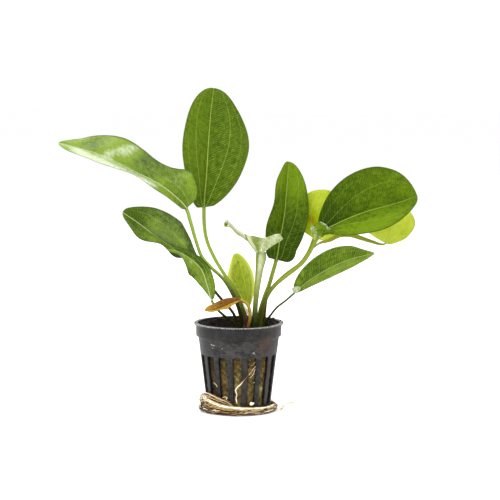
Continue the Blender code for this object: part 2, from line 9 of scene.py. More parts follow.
import json
import logging
import math
from collections.abc import Callable
from dataclasses import dataclass
from enum import Enum
from functools import partial
from itertools import product

import bpy
import numpy as np
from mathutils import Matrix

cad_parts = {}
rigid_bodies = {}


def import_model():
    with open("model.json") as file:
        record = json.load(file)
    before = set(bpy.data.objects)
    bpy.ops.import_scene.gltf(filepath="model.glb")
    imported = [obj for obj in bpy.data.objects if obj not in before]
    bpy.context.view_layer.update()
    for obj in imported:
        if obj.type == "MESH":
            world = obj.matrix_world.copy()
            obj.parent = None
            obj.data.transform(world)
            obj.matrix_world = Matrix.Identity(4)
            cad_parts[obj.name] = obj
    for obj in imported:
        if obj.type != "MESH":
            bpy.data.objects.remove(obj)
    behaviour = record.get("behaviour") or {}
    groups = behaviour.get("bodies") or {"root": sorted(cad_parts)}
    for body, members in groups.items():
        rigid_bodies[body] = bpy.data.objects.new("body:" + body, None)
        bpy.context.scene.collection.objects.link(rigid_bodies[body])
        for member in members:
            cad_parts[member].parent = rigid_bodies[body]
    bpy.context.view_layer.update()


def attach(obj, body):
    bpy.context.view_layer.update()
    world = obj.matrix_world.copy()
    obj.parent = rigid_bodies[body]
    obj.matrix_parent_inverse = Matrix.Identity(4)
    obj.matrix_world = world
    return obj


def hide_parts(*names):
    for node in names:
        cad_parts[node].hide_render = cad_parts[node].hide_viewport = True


MM = 0.001
SHARP_DEGREES = 50
SMOOTH = {"interpolation_type": "SMOOTHSTEP"}
RGBA = {"data_type": "RGBA"}
Array = np.ndarray
Row = tuple[float, ...]
Rows = tuple[Row, ...]
Point = tuple[float, float, float]
log = logging.getLogger("sword_plant")


# ---------------------------------------------------------------- curves and arrays


def along(points: Array) -> Array:
    """The distance from the first point to each one, summed over the straight steps between them."""
    steps = np.linalg.norm(np.diff(points, axis=0), axis=1)
    return np.concatenate([[0.0], np.cumsum(steps)])


def unit(vectors: Array) -> Array:
    """The vectors divided by their lengths."""
    return vectors / np.maximum(np.linalg.norm(vectors, axis=-1, keepdims=True), 1e-9)


def spline(knots: Array, values: Array, at: Array) -> Array:
    """A smooth curve through values at knots: cubic pieces whose slopes come from both neighbours.

    Args:
        knots: where each value stands, rising.
        values: one row for each knot.
        at: where the curve is read.

    Returns:
        One row for each place in at.
    """
    slopes = np.gradient(values, knots, axis=0)
    return hermite(knots, values, slopes, at)


def hermite(knots: Array, values: Array, slopes: Array, at: Array) -> Array:
    """Cubic pieces with the given values and slopes at the knots.

    Between two knots, with f the share of the way, the value is start + (end - start)(3f^2 - 2f^3)
    + span f (1 - f) (slope_start (1 - f) - slope_end f).

    Args:
        knots: where each value stands, rising.
        values: one row for each knot.
        slopes: the slope at each knot.
        at: where the curve is read.

    Returns:
        One row for each place in at.
    """
    at = np.clip(at, knots[0], knots[-1])
    low = np.clip(np.searchsorted(knots, at, side="right") - 1, 0, len(knots) - 2)
    span = (knots[low + 1] - knots[low])[:, None]
    share = (at[:, None] - knots[low][:, None]) / span
    blend = share * share * (3 - 2 * share)
    pull = slopes[low] * (1 - share) - slopes[low + 1] * share
    return values[low] * (1 - blend) + values[low + 1] * blend + span * share * (1 - share) * pull


def eased(table: Rows, at: Array) -> Array:
    """The columns after the first of a table of rows (t, a, b, ...), read smoothly and with no overshoot.

    The slope at a row is the harmonic mean of the slopes on its two sides, or 0 at a peak.

    Args:
        table: the rows, their first value rising.
        at: where the table is read.

    Returns:
        One row for each place in at, one column for each column after the first.
    """
    rows = np.array(table, float)
    knots, values = rows[:, 0], rows[:, 1:]
    steps = np.diff(values, axis=0) / np.diff(knots)[:, None]
    slopes = np.zeros_like(values)
    product = steps[:-1] * steps[1:]
    total = steps[:-1] + steps[1:]
    rising = product > 0
    slopes[1:-1][rising] = 2 * product[rising] / total[rising]
    return hermite(knots, values, slopes, at)


def smoothstep(low: float, high: float, value: Array) -> Array:
    """3f^2 - 2f^3 of the share f of the way from low to high, held at 0 and 1 outside them."""
    share = np.clip((value - low) / (high - low), 0.0, 1.0)
    return share * share * (3 - 2 * share)


def waviness(points: Array, size: float, seed: int) -> Array:
    """Smooth noise between about -1 and 1: the mean of 9 sine waves in random directions.

    Args:
        points: places in millimetres, in the last axis.
        size: the length of the longest wave in millimetres.
        seed: picks the waves.

    Returns:
        One value for each point.
    """
    picker = np.random.default_rng(seed)
    directions = unit(picker.normal(size=(9, 3)))
    lengths = size / np.repeat([1.0, 1.9, 3.4], 3)
    phases = picker.uniform(0, 2 * np.pi, 9)
    weights = np.repeat([1.0, 0.6, 0.35], 3)
    waves = np.sin(2 * np.pi * (points @ directions.T) / lengths + phases)
    return (waves * weights).sum(-1) / 3.4


# ---------------------------------------------------------------- meshes


@dataclass
class Shape:
    """A mesh under construction: points in millimetres, faces as arrays of corners, and marks.

    A mark is a named array of three numbers at each point, which a material reads.
    """

    points: Array
    faces: list[Array]
    marks: dict[str, Array]

    def joined(self, other: Shape) -> Shape:
        """This shape and another one as a single shape.

        Args:
            other: the shape that is added, with the same marks.

        Returns:
            The two together.
        """
        moved = [face + len(self.points) for face in other.faces]
        marks = {name: np.concatenate([self.marks[name], other.marks[name]]) for name in self.marks}
        return Shape(np.concatenate([self.points, other.points]), self.faces + moved, marks)

    def place(self, name: str, material: bpy.types.Material, slot: str, *nodes: str) -> None:
        """Makes the mesh object at the origin; it rides on the body and stands for its CAD nodes.

        Args:
            name: the object's name.
            material: its material.
            slot: the record's material slot; not used.
            nodes: the CAD nodes that it replaces.
        """
        mesh = bpy.data.meshes.new(name)
        mesh.vertices.add(len(self.points))
        mesh.vertices.foreach_set("co", (self.points * MM).ravel())
        corners = np.concatenate([face.ravel() for face in self.faces])
        sizes = np.concatenate([np.full(len(face), face.shape[1]) for face in self.faces])
        mesh.loops.add(len(corners))
        mesh.loops.foreach_set("vertex_index", corners)
        mesh.polygons.add(len(sizes))
        mesh.polygons.foreach_set("loop_start", np.concatenate([[0], np.cumsum(sizes)[:-1]]))
        mesh.update(calc_edges=True)
        mesh.validate()
        mesh.shade_smooth()
        mesh.set_sharp_from_angle(angle=math.radians(SHARP_DEGREES))
        for mark, values in self.marks.items():
            layer = mesh.attributes.new(mark, "FLOAT_VECTOR", "POINT")
            layer.data.foreach_set("vector", values.ravel())
        mesh.materials.append(material)
        made = bpy.data.objects.new(name, mesh)
        bpy.context.scene.collection.objects.link(made)
        if nodes:
            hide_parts(*nodes)
        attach(made, "root")
        log.info("%s: %d points, %d faces", name, len(self.points), len(sizes))


def net(rows: int, columns: int, closed: bool = False) -> Array:
    """The quads of a grid of points, row by row.

    Args:
        rows: how many rows of points.
        columns: how many points in a row.
        closed: whether each row's end meets its start.

    Returns:
        The corners of each quad, (row, column), (row, next), (next row, next), (next row, column).
    """
    row = np.arange(rows - 1)[:, None] * columns
    column = np.arange(columns if closed else columns - 1)[None, :]
    beside = (column + 1) % columns
    quads = np.stack([row + column, row + beside, row + columns + beside, row + columns + column], -1)
    return quads.reshape(-1, 4)


def fan(ring: Array, centre: int) -> Array:
    """Triangles from each side of a closed ring of points to one centre."""
    return np.stack([ring, np.roll(ring, -1), np.full(len(ring), centre)], 1)


def capped(rings: Array, poles: Array) -> tuple[Array, list[Array]]:
    """Closes rings of points into a body, with a pole before the first ring and one after the last.

    Args:
        rings: rings by points by 3.
        poles: the two poles.

    Returns:
        The body's points and its faces.
    """
    rows, columns = rings.shape[:2]
    index = np.arange(rows * columns).reshape(rows, columns)
    ends = [fan(index[0], index.size)[:, ::-1], fan(index[-1], index.size + 1)]
    return np.concatenate([rings.reshape(-1, 3), poles]), [net(rows, columns, closed=True), *ends]


def toned(tones: Array) -> dict[str, Array]:
    """The mark "strand" with the same tone in all three numbers."""
    return {"strand": np.stack([tones] * 3, -1)}


def shell(middle: Array, thickness: float, marks: dict[str, Array]) -> Shape:
    """A thin closed sheet about a grid of points, its rim closed by a band.

    Each face of the sheet is the grid moved half the thickness along its normal, which is the cross
    product of the grid's two directions. The thickness falls to a third at the rim.

    Args:
        middle: the grid of points, rows by columns by 3.
        thickness: in millimetres.
        marks: values on the same grid, each with 3 numbers, which both sides get.

    Returns:
        The closed shape.
    """
    rows, columns = middle.shape[:2]
    normal = unit(np.cross(np.gradient(middle, axis=1), np.gradient(middle, axis=0)))
    edge_row = np.minimum(np.arange(rows), np.arange(rows)[::-1])[:, None]
    edge_column = np.minimum(np.arange(columns), np.arange(columns)[::-1])[None, :]
    half = thickness / 2 * np.where(np.minimum(edge_row, edge_column) == 0, 0.35, 1.0)[..., None]
    points = np.concatenate([(middle + side * half * normal).reshape(-1, 3) for side in (1, -1)])
    top = net(rows, columns)
    count = rows * columns
    index = np.arange(count).reshape(rows, columns)
    rim = np.concatenate([index[0, :-1], index[:-1, -1], index[-1, :0:-1], index[:0:-1, 0]])
    after = np.roll(rim, -1)
    band = np.stack([rim, rim + count, after + count, after], 1)
    doubled = {name: np.tile(values.reshape(-1, 3), (2, 1)) for name, values in marks.items()}
    return Shape(points, [top, top[:, ::-1] + count, band], doubled)


def strands(paths: Array, radii: Array, sides: int, tones: Array, level: Point = (0.0, 0.0, 1.0)) -> Shape:
    """Many round strands at once: a circle of points carried along each path, closed to a point at its ends.

    The circle stands across the path's direction; its first axis is that direction's cross product
    with level, and its second is square to both.

    Args:
        paths: strands by points by 3, in millimetres.
        radii: strands by points.
        sides: how many sides each strand has.
        tones: one number for each strand, kept in the mark "strand" with the share of its length.
        level: a direction that no strand runs along.

    Returns:
        All the strands as one shape.
    """
    count, steps = paths.shape[:2]
    forward = unit(np.gradient(paths, axis=1))
    across = unit(np.cross(forward, np.array(level)))
    upward = np.cross(across, forward)
    angle = 2 * np.pi * np.arange(sides) / sides
    circle = np.cos(angle)[:, None] * across[:, :, None] + np.sin(angle)[:, None] * upward[:, :, None]
    rings = paths[:, :, None] + radii[:, :, None, None] * circle
    share = np.broadcast_to(np.linspace(0, 1, steps)[None, :, None], rings.shape[:3])
    tone = np.broadcast_to(tones[:, None, None], rings.shape[:3])
    turn = np.broadcast_to((angle / (2 * np.pi))[None, None, :], rings.shape[:3])
    mark = np.stack([tone, share, turn], -1).reshape(-1, 3)
    ends = np.concatenate([paths[:, 0], paths[:, -1]])
    end_mark = np.stack([np.tile(tones, 2), np.repeat([0.0, 1.0], count), np.zeros(2 * count)], 1)
    first = np.arange(count)[:, None, None] * steps * sides
    quads = (net(steps, sides, closed=True)[None] + first).reshape(-1, 4)
    side = np.arange(sides)
    start = first[:, :, 0] + side
    final = start + (steps - 1) * sides
    body = count * steps * sides
    start_tip = np.broadcast_to(body + np.arange(count)[:, None], start.shape)
    final_tip = start_tip + count
    caps = [
        np.stack([np.roll(start, -1, 1), start, start_tip], -1),
        np.stack([final, np.roll(final, -1, 1), final_tip], -1),
    ]
    faces = [quads[:, ::-1], *[cap.reshape(-1, 3)[:, ::-1] for cap in caps]]
    points = np.concatenate([rings.reshape(-1, 3), ends])
    return Shape(points, faces, {"strand": np.concatenate([mark, end_mark])})


def pebbles(centres: Array, sizes: Array, seed: int) -> Shape:
    """Many small stones: an eight-sided solid whose edges are halved once, pushed about and turned.

    Each of its 18 corners stands at the stone's radius times a random number near 1, and the whole
    is stretched by three random factors along three random axes.

    Args:
        centres: where each stone is, in millimetres.
        sizes: the radius of each one.
        seed: picks the random numbers.

    Returns:
        All the stones as one shape, with the mark "strand" holding a tone for each.
    """
    picker = np.random.default_rng(seed)
    grid = np.array(list(product((-1, 0, 1), repeat=3)), float)
    corners = unit(grid[np.isin(np.abs(grid).sum(1), (1, 2))])
    ids = {tuple(np.sign(np.round(corner, 3)).astype(int)): index for index, corner in enumerate(corners)}
    triangles = []
    for x, y, z in product((-1, 1), repeat=3):
        a, b, c = ids[x, 0, 0], ids[0, y, 0], ids[0, 0, z]
        ab, bc, ca = ids[x, y, 0], ids[0, y, z], ids[x, 0, z]
        order = 1 if x * y * z > 0 else -1
        triangles += [t[::order] for t in ((a, ab, ca), (ab, b, bc), (ca, bc, c), (ab, bc, ca))]
    count = len(centres)
    turns = np.linalg.qr(picker.normal(size=(count, 3, 3)))[0]
    turns *= np.sign(np.linalg.det(turns))[:, None, None]
    stretch = picker.uniform(0.65, 1.15, (count, 1, 3))
    rough = picker.uniform(0.82, 1.12, (count, len(corners), 1))
    body = (corners * rough * stretch) @ turns * sizes[:, None, None] + centres[:, None]
    faces = np.array(triangles)[None] + (np.arange(count) * len(corners))[:, None, None]
    tone = np.repeat(picker.uniform(0, 1, count), len(corners))
    return Shape(body.reshape(-1, 3), [faces.reshape(-1, 3)], toned(tone))


# ---------------------------------------------------------------- materials


def linear(code: str) -> tuple[float, float, float, float]:
    """A colour given as sRGB hex, turned to linear values with full opacity.

    A channel v becomes v / 12.92 where it is dark, and ((v + 0.055) / 1.055)^2.4 elsewhere.

    Args:
        code: the colour, as #rrggbb.

    Returns:
        Red, green, blue and opacity.
    """
    encoded = np.array([int(code[i : i + 2], 16) / 255 for i in (1, 3, 5)])
    values = np.where(encoded <= 0.04045, encoded / 12.92, ((encoded + 0.055) / 1.055) ** 2.4)
    return (*values.tolist(), 1.0)


def per(size: float) -> float:
    """The scale that makes a pattern's feature this many millimetres wide on Object coordinates."""
    return 1 / (size * MM)


def add(
    tree: bpy.types.NodeTree, kind: str, inputs: dict | None = None, **settings: object
) -> bpy.types.Node:
    """Adds one shader node.

    Args:
        tree: the node tree.
        kind: the node's type without its "ShaderNode".
        inputs: values for its sockets, by number or by name; a node or a socket is linked.
        settings: the node's own properties.

    Returns:
        The new node.
    """
    node = tree.nodes.new("ShaderNode" + kind)
    for name, value in settings.items():
        setattr(node, name, value)
    for key, value in (inputs or {}).items():
        named = (each for each in node.inputs if each.enabled and each.name == key)
        socket = node.inputs[key] if isinstance(key, int) else next(named)
        if isinstance(value, bpy.types.Node):
            value = next(each for each in value.outputs if each.enabled)
        if isinstance(value, bpy.types.NodeSocket):
            tree.links.new(value, socket)
        else:
            socket.default_value = value
    return node


def blank(name: str) -> tuple[bpy.types.Material, Callable[..., bpy.types.Node]]:
    """A new material without nodes, and the function that adds a node to it.

    Args:
        name: the material's name.

    Returns:
        The material and that function.
    """
    material = bpy.data.materials.new(name)
    material.use_nodes = True
    material.node_tree.nodes.clear()
    return material, partial(add, material.node_tree)


class Gloss(Enum):
    """How a leaf's waxy skin shines: its roughness, its specular level and the weight of its wet coat."""

    MATT = (0.58, 0.06, 0.0)
    SATIN = (0.5, 0.075, 0.3)
    WAXY = (0.48, 0.075, 0.6)
    WET = (0.45, 0.075, 0.8)


@dataclass(frozen=True)
class LeafSkin:
    """Living leaf tissue under a waxy skin: light goes through it, and its veins show pale.

    deep and light are the two greens that the blade drifts between, rib is the colour of its veins, edge
    of its thin margin, under of its underside, and foot and neck of its stalk's lower and upper end. vein
    and ladder are how strongly the side veins and the fine cross-veins show, glow how much of the light
    goes through, rust how much of the blade has brown spots, rim the share of the half-width at which the
    margin begins, seam the colour of the stalk's sides, partly their own brown and partly painted shade
    along their outlines, bloom that of the painted glints, pale streaks that stand for the studio's white
    reflected where the tone passes 1, and decay that of spots.
    """

    name: str
    deep: str
    light: str
    rib: str
    edge: str
    under: str
    foot: str
    neck: str
    gloss: Gloss = Gloss.SATIN
    vein: float = 0.8
    ladder: float = 0.3
    glow: float = 0.22
    rust: float = 0.0
    rim: float = 0.9
    stalk_side: str = "#4a4014"
    glint: str = "#c3ccb0"
    decay: str = "#8a5a1a"

    def make(self) -> bpy.types.Material:
        """Builds the material from the marks "veins", "skin" and "body" that a leaf's points carry.

        Returns:
            The material.
        """
        material, node = blank(self.name)
        veins, skin, body = (
            node("SeparateXYZ", {0: node("Attribute", attribute_name=mark).outputs["Vector"]}).outputs
            for mark in BLANK_MARKS
        )
        place = node("TexCoord").outputs["Object"]
        blotch, mottle, grain = (
            node("TexNoise", {"Vector": place, "Scale": per(size), "Detail": 3.0}) for size in (9, 2.6, 0.9)
        )

        main = 0.0
        for output, reach in (("X", 0.95), ("Y", 0.6 * self.vein), ("Z", 0.25 * self.vein)):
            away = node("Math", {0: veins[output]}, operation="ABSOLUTE")
            falls = {"Value": away, "From Min": 0.3, "From Max": 1.05, "To Min": reach, "To Max": 0.0}
            main = node("Math", {0: node("MapRange", falls, **SMOOTH), 1: main}, operation="MAXIMUM")
        sway = skin["Y"]
        for pattern, weight in ((blotch, 1.6), (mottle, 0.9)):
            sway = node("Math", {0: pattern, 1: weight, 2: sway}, operation="MULTIPLY_ADD")
        wave = node("Math", {0: sway, 1: 2 * math.pi}, operation="MULTIPLY")
        wave = node("Math", {0: wave}, operation="SINE")
        ladder = node("MapRange", {"Value": wave, "From Min": 0.1}, **SMOOTH)

        # Streaks across the blade, which follow its cross-veins
        level = node("Math", {0: skin["Y"], 1: 0.6}, operation="MULTIPLY")
        aside = node("Math", {0: veins["X"], 1: 0.22}, operation="MULTIPLY")
        weave = node("CombineXYZ", {0: level, 1: aside})
        streak = node("TexNoise", {"Vector": weave, "Scale": 1.0, "Detail": 4.0, "Distortion": 0.4})
        # The tone in skin X, which holds painted light and shade as well as the leaf's colour, moves the
        # blade between its greens
        drift = -1.5
        for pattern, weight in ((blotch, 0.8), (mottle, 0.6), (streak, 0.6), (grain, 1.0)):
            drift = node("Math", {0: pattern, 1: weight, 2: drift}, operation="MULTIPLY_ADD")
        drift = node("Math", {0: drift, 1: skin["X"]}, operation="ADD", use_clamp=True)
        # Painted glints: where the tone passes 1, broken pale streaks of the bloom colour on the upper side,
        # a painted reflection of the studio's white
        painted_glint = node("Math", {0: skin["X"], 1: 4.0, 2: -4.0}, operation="MULTIPLY_ADD")
        back = node("Math", {0: body["X"], 1: -2.0, 2: 0.4}, operation="MULTIPLY_ADD", use_clamp=True)
        for factor in (streak, back):
            painted_glint = node("Math", {0: painted_glint, 1: factor}, operation="MULTIPLY")
        painted_glint = node("MapRange", {"Value": painted_glint, "From Min": 0.24, "From Max": 0.8, "To Max": 0.8})
        faint = node("MapRange", {"Value": streak, "From Min": 0.35, "From Max": 0.68})
        for factor in (ladder, self.ladder):
            faint = node("Math", {0: faint, 1: factor}, operation="MULTIPLY")
        layers = [(drift, self.light), (body["X"], self.under), (painted_glint, self.glint), (faint, self.rib)]
        if self.rust:
            fleck = node("TexNoise", {"Vector": place, "Scale": per(7), "Detail": 6.0, "Distortion": 0.6})
            flecks = {"Value": fleck, "From Min": 0.72 - self.rust * 0.2, "From Max": 0.8, "To Max": 0.8}
            layers.append((node("MapRange", flecks, **SMOOTH), self.decay))
        fades = {"Value": skin["X"], "From Min": -0.2, "From Max": -1.0, "To Max": 0.85}
        dying = node("MapRange", fades, **SMOOTH)
        margin = node("MapRange", {"Value": skin["Z"], "From Min": self.rim, "To Max": 0.8}, **SMOOTH)
        green = linear(self.deep)
        for factor, shade in (*layers, (dying, self.decay), (margin, self.edge), (main, self.rib)):
            green = node("Mix", {"Factor": factor, "A": green, "B": linear(shade)}, **RGBA)

        upper = node("Math", {0: grain, 1: 0.2, 2: body["Z"]}, operation="MULTIPLY_ADD")
        upper = node("MapRange", {"Value": upper, "From Min": 0.1, "From Max": 0.6}, **SMOOTH)
        # The stalk's darker sides: partly its own brown, partly painted shade along its outlines
        sides = {"Value": skin["Z"], "From Min": 0.5, "From Max": 0.95, "To Max": 0.65}
        flank = node("MapRange", sides, **SMOOTH)
        stalk = linear(self.foot)
        for factor, shade in ((upper, self.neck), (flank, self.stalk_side)):
            stalk = node("Mix", {"Factor": factor, "A": stalk, "B": linear(shade)}, **RGBA)
        colour = node("Mix", {"Factor": body["Y"], "A": green, "B": stalk}, **RGBA)

        roughness, shine, coat = self.gloss.value
        sheen = node("Math", {0: 1.0, 1: body["Y"]}, operation="SUBTRACT")
        sheen = node("Math", {0: sheen, 1: body["Z"]}, operation="MULTIPLY")
        patches = {"Value": mottle, "From Min": 0.3, "From Max": 0.62, "To Min": 0.35}
        patchy = node("MapRange", patches, **SMOOTH)
        sheen = node("Math", {0: sheen, 1: patchy}, operation="MULTIPLY", use_clamp=True)
        wet = node("Math", {0: sheen, 1: coat}, operation="MULTIPLY")
        rough = node("Math", {0: grain, 1: 0.16, 2: roughness - 0.08}, operation="MULTIPLY_ADD")
        rough = node("Math", {0: sheen, 1: -0.2, 2: rough}, operation="MULTIPLY_ADD")
        relief = 0.0
        for pattern, weight in ((grain, 0.1), (ladder, -0.05 - 0.08 * coat), (blotch, 0.5 + 0.9 * coat)):
            relief = node("Math", {0: pattern, 1: weight, 2: relief}, operation="MULTIPLY_ADD")
        bump = node("Bump", {"Strength": 0.6, "Distance": MM, "Height": relief})
        wax = {"IOR": 1.42, "Specular IOR Level": shine, "Coat Weight": wet, "Coat Roughness": 0.16}
        face = node("BsdfPrincipled", {"Base Color": colour, "Roughness": rough, "Normal": bump, **wax})
        through = node("BsdfTranslucent", {"Color": colour, "Normal": bump})
        node("OutputMaterial", {"Surface": node("MixShader", {0: self.glow, 1: face, 2: through})})
        return material


@dataclass(frozen=True)
class Plastic:
    """Injection-moulded black polypropylene: a satin skin greyed by dust, with a painted highlight on the
    lip's edge.

    scuffs has rows (x, y, z, size) in millimetres: pale scrapes and stuck crumbs.
    """

    name: str = "moulded_polypropylene"
    body: str = "#111112"
    dust: str = "#403e3d"
    lip_glint_and_scuff: str = "#aeada8"
    stain: str = "#4a2c1c"
    scuffs: Rows = (
        (-15.7, -17.9, 41.9, 0.55), (-14.9, -18.8, 41.5, 0.5), (-14.2, -19.2, 41.6, 0.35),
        (-15.2, -18.1, 39.9, 0.4), (9, -21.9, 37.6, 0.55), (9.6, -21.5, 37.1, 0.4), (-9.7, -21.9, 40, 0.3),
        (17.4, -16.4, 43.2, 0.35),
    )

    def make(self) -> bpy.types.Material:
        """Builds the material; the mark "wear" gives the lip's painted highlight, the peat stain and the
        dust.

        Returns:
            The material.
        """
        material, node = blank(self.name)
        wear_and_painted_light = node("SeparateXYZ", {0: node("Attribute", attribute_name="wear_and_painted_light").outputs["Vector"]}).outputs
        place = node("TexCoord").outputs["Object"]
        cloud = node("TexNoise", {"Vector": place, "Scale": per(6), "Detail": 5.0, "Roughness": 0.65})
        # Wiped dust lies in short level wisps
        level = node("Mapping", {"Vector": place, "Scale": (1.0, 1.0, 2.6)})
        wisp = node("TexNoise", {"Vector": level, "Scale": per(2.4), "Detail": 5.0, "Roughness": 0.7})
        speck = node("TexNoise", {"Vector": place, "Scale": per(0.45), "Detail": 2.0})

        veil = node("Math", {0: cloud, 1: wisp}, operation="MULTIPLY")
        veil = node("MapRange", {"Value": veil, "From Min": 0.16, "From Max": 0.36, "To Min": 0.08}, **SMOOTH)
        coarse = {"Value": speck, "From Min": 0.3, "From Max": 0.7, "To Min": 0.6, "To Max": 1.4}
        # The dust veil, thinned on the collar and cleared inside as painted shade
        for factor in (node("MapRange", coarse), wear_and_painted_light["Z"]):
            veil = node("Math", {0: veil, 1: factor}, operation="MULTIPLY")
        peat = node("Math", {0: wear_and_painted_light["Y"], 1: cloud}, operation="MULTIPLY", use_clamp=True)
        # The lip's pale edge is a painted highlight; the scuffs are real scrapes and crumbs
        lip_glint_and_scuff = wear_and_painted_light["X"]
        for x, y, z, size in self.scuffs:
            spot = (x * MM, y * MM, z * MM)
            gap = node("VectorMath", {0: place, 1: spot}, operation="DISTANCE").outputs["Value"]
            near = node("MapRange", {"Value": gap, "From Min": 1.4 * size * MM, "From Max": 0.5 * size * MM})
            lip_glint_and_scuff = node("Math", {0: lip_glint_and_scuff, 1: near}, operation="MAXIMUM")
        scuff = node("MapRange", {"Value": speck, "From Min": 0.36, "From Max": 0.6}, **SMOOTH)
        scuff = node("Math", {0: scuff, 1: lip_glint_and_scuff}, operation="MULTIPLY", use_clamp=True)
        colour = linear(self.body)
        for factor, shade in ((veil, self.dust), (peat, self.stain), (scuff, self.lip_glint_and_scuff)):
            colour = node("Mix", {"Factor": factor, "A": colour, "B": linear(shade)}, **RGBA)
        rough = node("Math", {0: veil, 1: 0.3, 2: 0.34}, operation="MULTIPLY_ADD")
        relief = node("Math", {0: speck, 1: 0.4, 2: wisp}, operation="MULTIPLY_ADD")
        bump = node("Bump", {"Strength": 0.5, "Distance": 0.3 * MM, "Height": relief})
        satin = {"IOR": 1.49, "Specular IOR Level": 0.2, "Normal": bump}
        skin = node("BsdfPrincipled", {"Base Color": colour, "Roughness": rough, **satin})
        node("OutputMaterial", {"Surface": skin})
        return material


@dataclass(frozen=True)
class Loose:
    """A dull natural stuff in bits or strands, such as peat, stone, rockwool fibre or root bark.

    shades runs from the darkest to the palest; each piece's own tone picks between them, and a noise
    of the given grain size in millimetres varies it. Patches take on the colour of the stain.
    """

    name: str
    shades: tuple[str, ...]
    grain: float
    roughness: float = 0.9
    sway: float = 0.5
    relief: float = 0.25
    damp: float = 0.0
    stain: str = "#4a2c14"
    stained: float = 0.0

    def make(self) -> bpy.types.Material:
        """Builds the material from the mark "strand", whose X is the piece's own tone.

        Returns:
            The material.
        """
        material, node = blank(self.name)
        own = node("Attribute", attribute_name="strand").outputs["Vector"]
        own = node("SeparateXYZ", {0: own}).outputs["X"]
        place = node("TexCoord").outputs["Object"]
        cloud, fine, wide = (
            node("TexNoise", {"Vector": place, "Scale": per(size), "Detail": detail})
            for size, detail in ((self.grain, 4.0), (self.grain / 6, 2.0), (self.grain * 3, 3.0))
        )
        tone = node("Math", {0: cloud, 1: self.sway, 2: -self.sway / 2}, operation="MULTIPLY_ADD")
        tone = node("Math", {0: tone, 1: own}, operation="ADD")
        ramp = node("ValToRGB", {0: tone})
        stops = ramp.color_ramp.elements
        stops[0].color, stops[1].color = linear(self.shades[0]), linear(self.shades[-1])
        for index, shade in enumerate(self.shades[1:-1], 1):
            stops.new(index / (len(self.shades) - 1)).color = linear(shade)
        patches = {"Value": wide, "From Min": 0.45, "From Max": 0.65, "To Max": self.stained}
        spread = node("MapRange", patches, **SMOOTH)
        colour = node("Mix", {"Factor": spread, "A": ramp.outputs["Color"], "B": linear(self.stain)}, **RGBA)
        height = node("Math", {0: fine, 1: 0.4, 2: cloud}, operation="MULTIPLY_ADD")
        bump = node("Bump", {"Strength": 0.8, "Distance": self.relief * MM, "Height": height})
        dull = {"Roughness": self.roughness, "Specular IOR Level": 0.25, "Coat Weight": self.damp}
        skin = node("BsdfPrincipled", {"Base Color": colour, "Normal": bump, "Coat Roughness": 0.3, **dull})
        node("OutputMaterial", {"Surface": skin})
        return material


@dataclass(frozen=True)
class Paper:
    """The dry, thin sheath of an old leaf: a fibrous cream skin that lets some light through."""

    name: str = "dry_sheath_paper"
    deep: str = "#cdb27c"
    light: str = "#fbf5e2"

    def make(self) -> bpy.types.Material:
        """Builds the material, its fibres along the mark "strand".

        Returns:
            The material.
        """
        material, node = blank(self.name)
        way = node("Attribute", attribute_name="strand").outputs["Vector"]
        stretched = node("Mapping", {"Vector": way, "Scale": (14.0, 2.0, 1.0)})
        fibre = node("TexNoise", {"Vector": stretched, "Scale": 1.0, "Detail": 3.0})
        colour = node("Mix", {"Factor": fibre, "A": linear(self.deep), "B": linear(self.light)}, **RGBA)
        bump = node("Bump", {"Strength": 0.5, "Distance": 0.2 * MM, "Height": fibre})
        skin = node("BsdfPrincipled", {"Base Color": colour, "Roughness": 0.7, "Normal": bump})
        through = node("BsdfTranslucent", {"Color": colour, "Normal": bump})
        node("OutputMaterial", {"Surface": node("MixShader", {0: 0.3, 1: skin, 2: through})})
        return material


# ---------------------------------------------------------------- leaves


VEINS: Rows = ((0, 0.30, 0.66), (0.5, 0.50, 0.80), (1, 0.66, 0.88))
BLANK_MARKS = {"veins": (9.0, 9.0, 9.0), "skin": (0.5, 0.0, 0.0), "body": (0.0, 0.0, 0.5)}


def leaf_marks(shape: tuple[int, ...], tone: Array | float = 0.5, stalk: float = 0.0) -> dict[str, Array]:
    """Plain marks for a piece of leaf that has no veins of its own.

    Args:
        shape: the grid's rows and columns.
        tone: 0 for the skin's deep colour to 1 for its light one.
        stalk: 1 where the stalk's colours are used.

    Returns:
        The three marks on that grid.
    """
    marks = {name: np.tile(np.array(value), (*shape, 1)) for name, value in BLANK_MARKS.items()}
    marks["skin"][..., 0] = tone
    marks["body"][..., 1] = stalk
    return marks


def grown(rings: Array, line: Array, marks: dict[str, Array]) -> Shape:
    """A closed loft whose poles are the ends of its centre line.

    Args:
        rings: rings by points by 3.
        line: the centre line's points.
        marks: values on the rings; each pole gets the mean of the ring beside it.

    Returns:
        The loft.
    """
    points, faces = capped(rings, line[[0, -1]])
    ends = {name: values[[0, -1]].mean(1) for name, values in marks.items()}
    whole = {name: np.concatenate([values.reshape(-1, 3), ends[name]]) for name, values in marks.items()}
    return Shape(points, faces, whole)


def patch(points: Array, rows: int, columns: int) -> Array:
    """A smooth surface through a small grid of points, as a spline down it and then across it.

    Args:
        points: the grid, in millimetres.
        rows: how many rows the surface gets.
        columns: how many columns.

    Returns:
        The surface's own grid.
    """
    for steps in (rows, columns):
        knots = np.arange(len(points))
        filled = spline(knots, points.reshape(len(points), -1), np.linspace(0, knots[-1], steps))
        points = np.moveaxis(filled.reshape(steps, -1, 3), 1, 0)
    return points


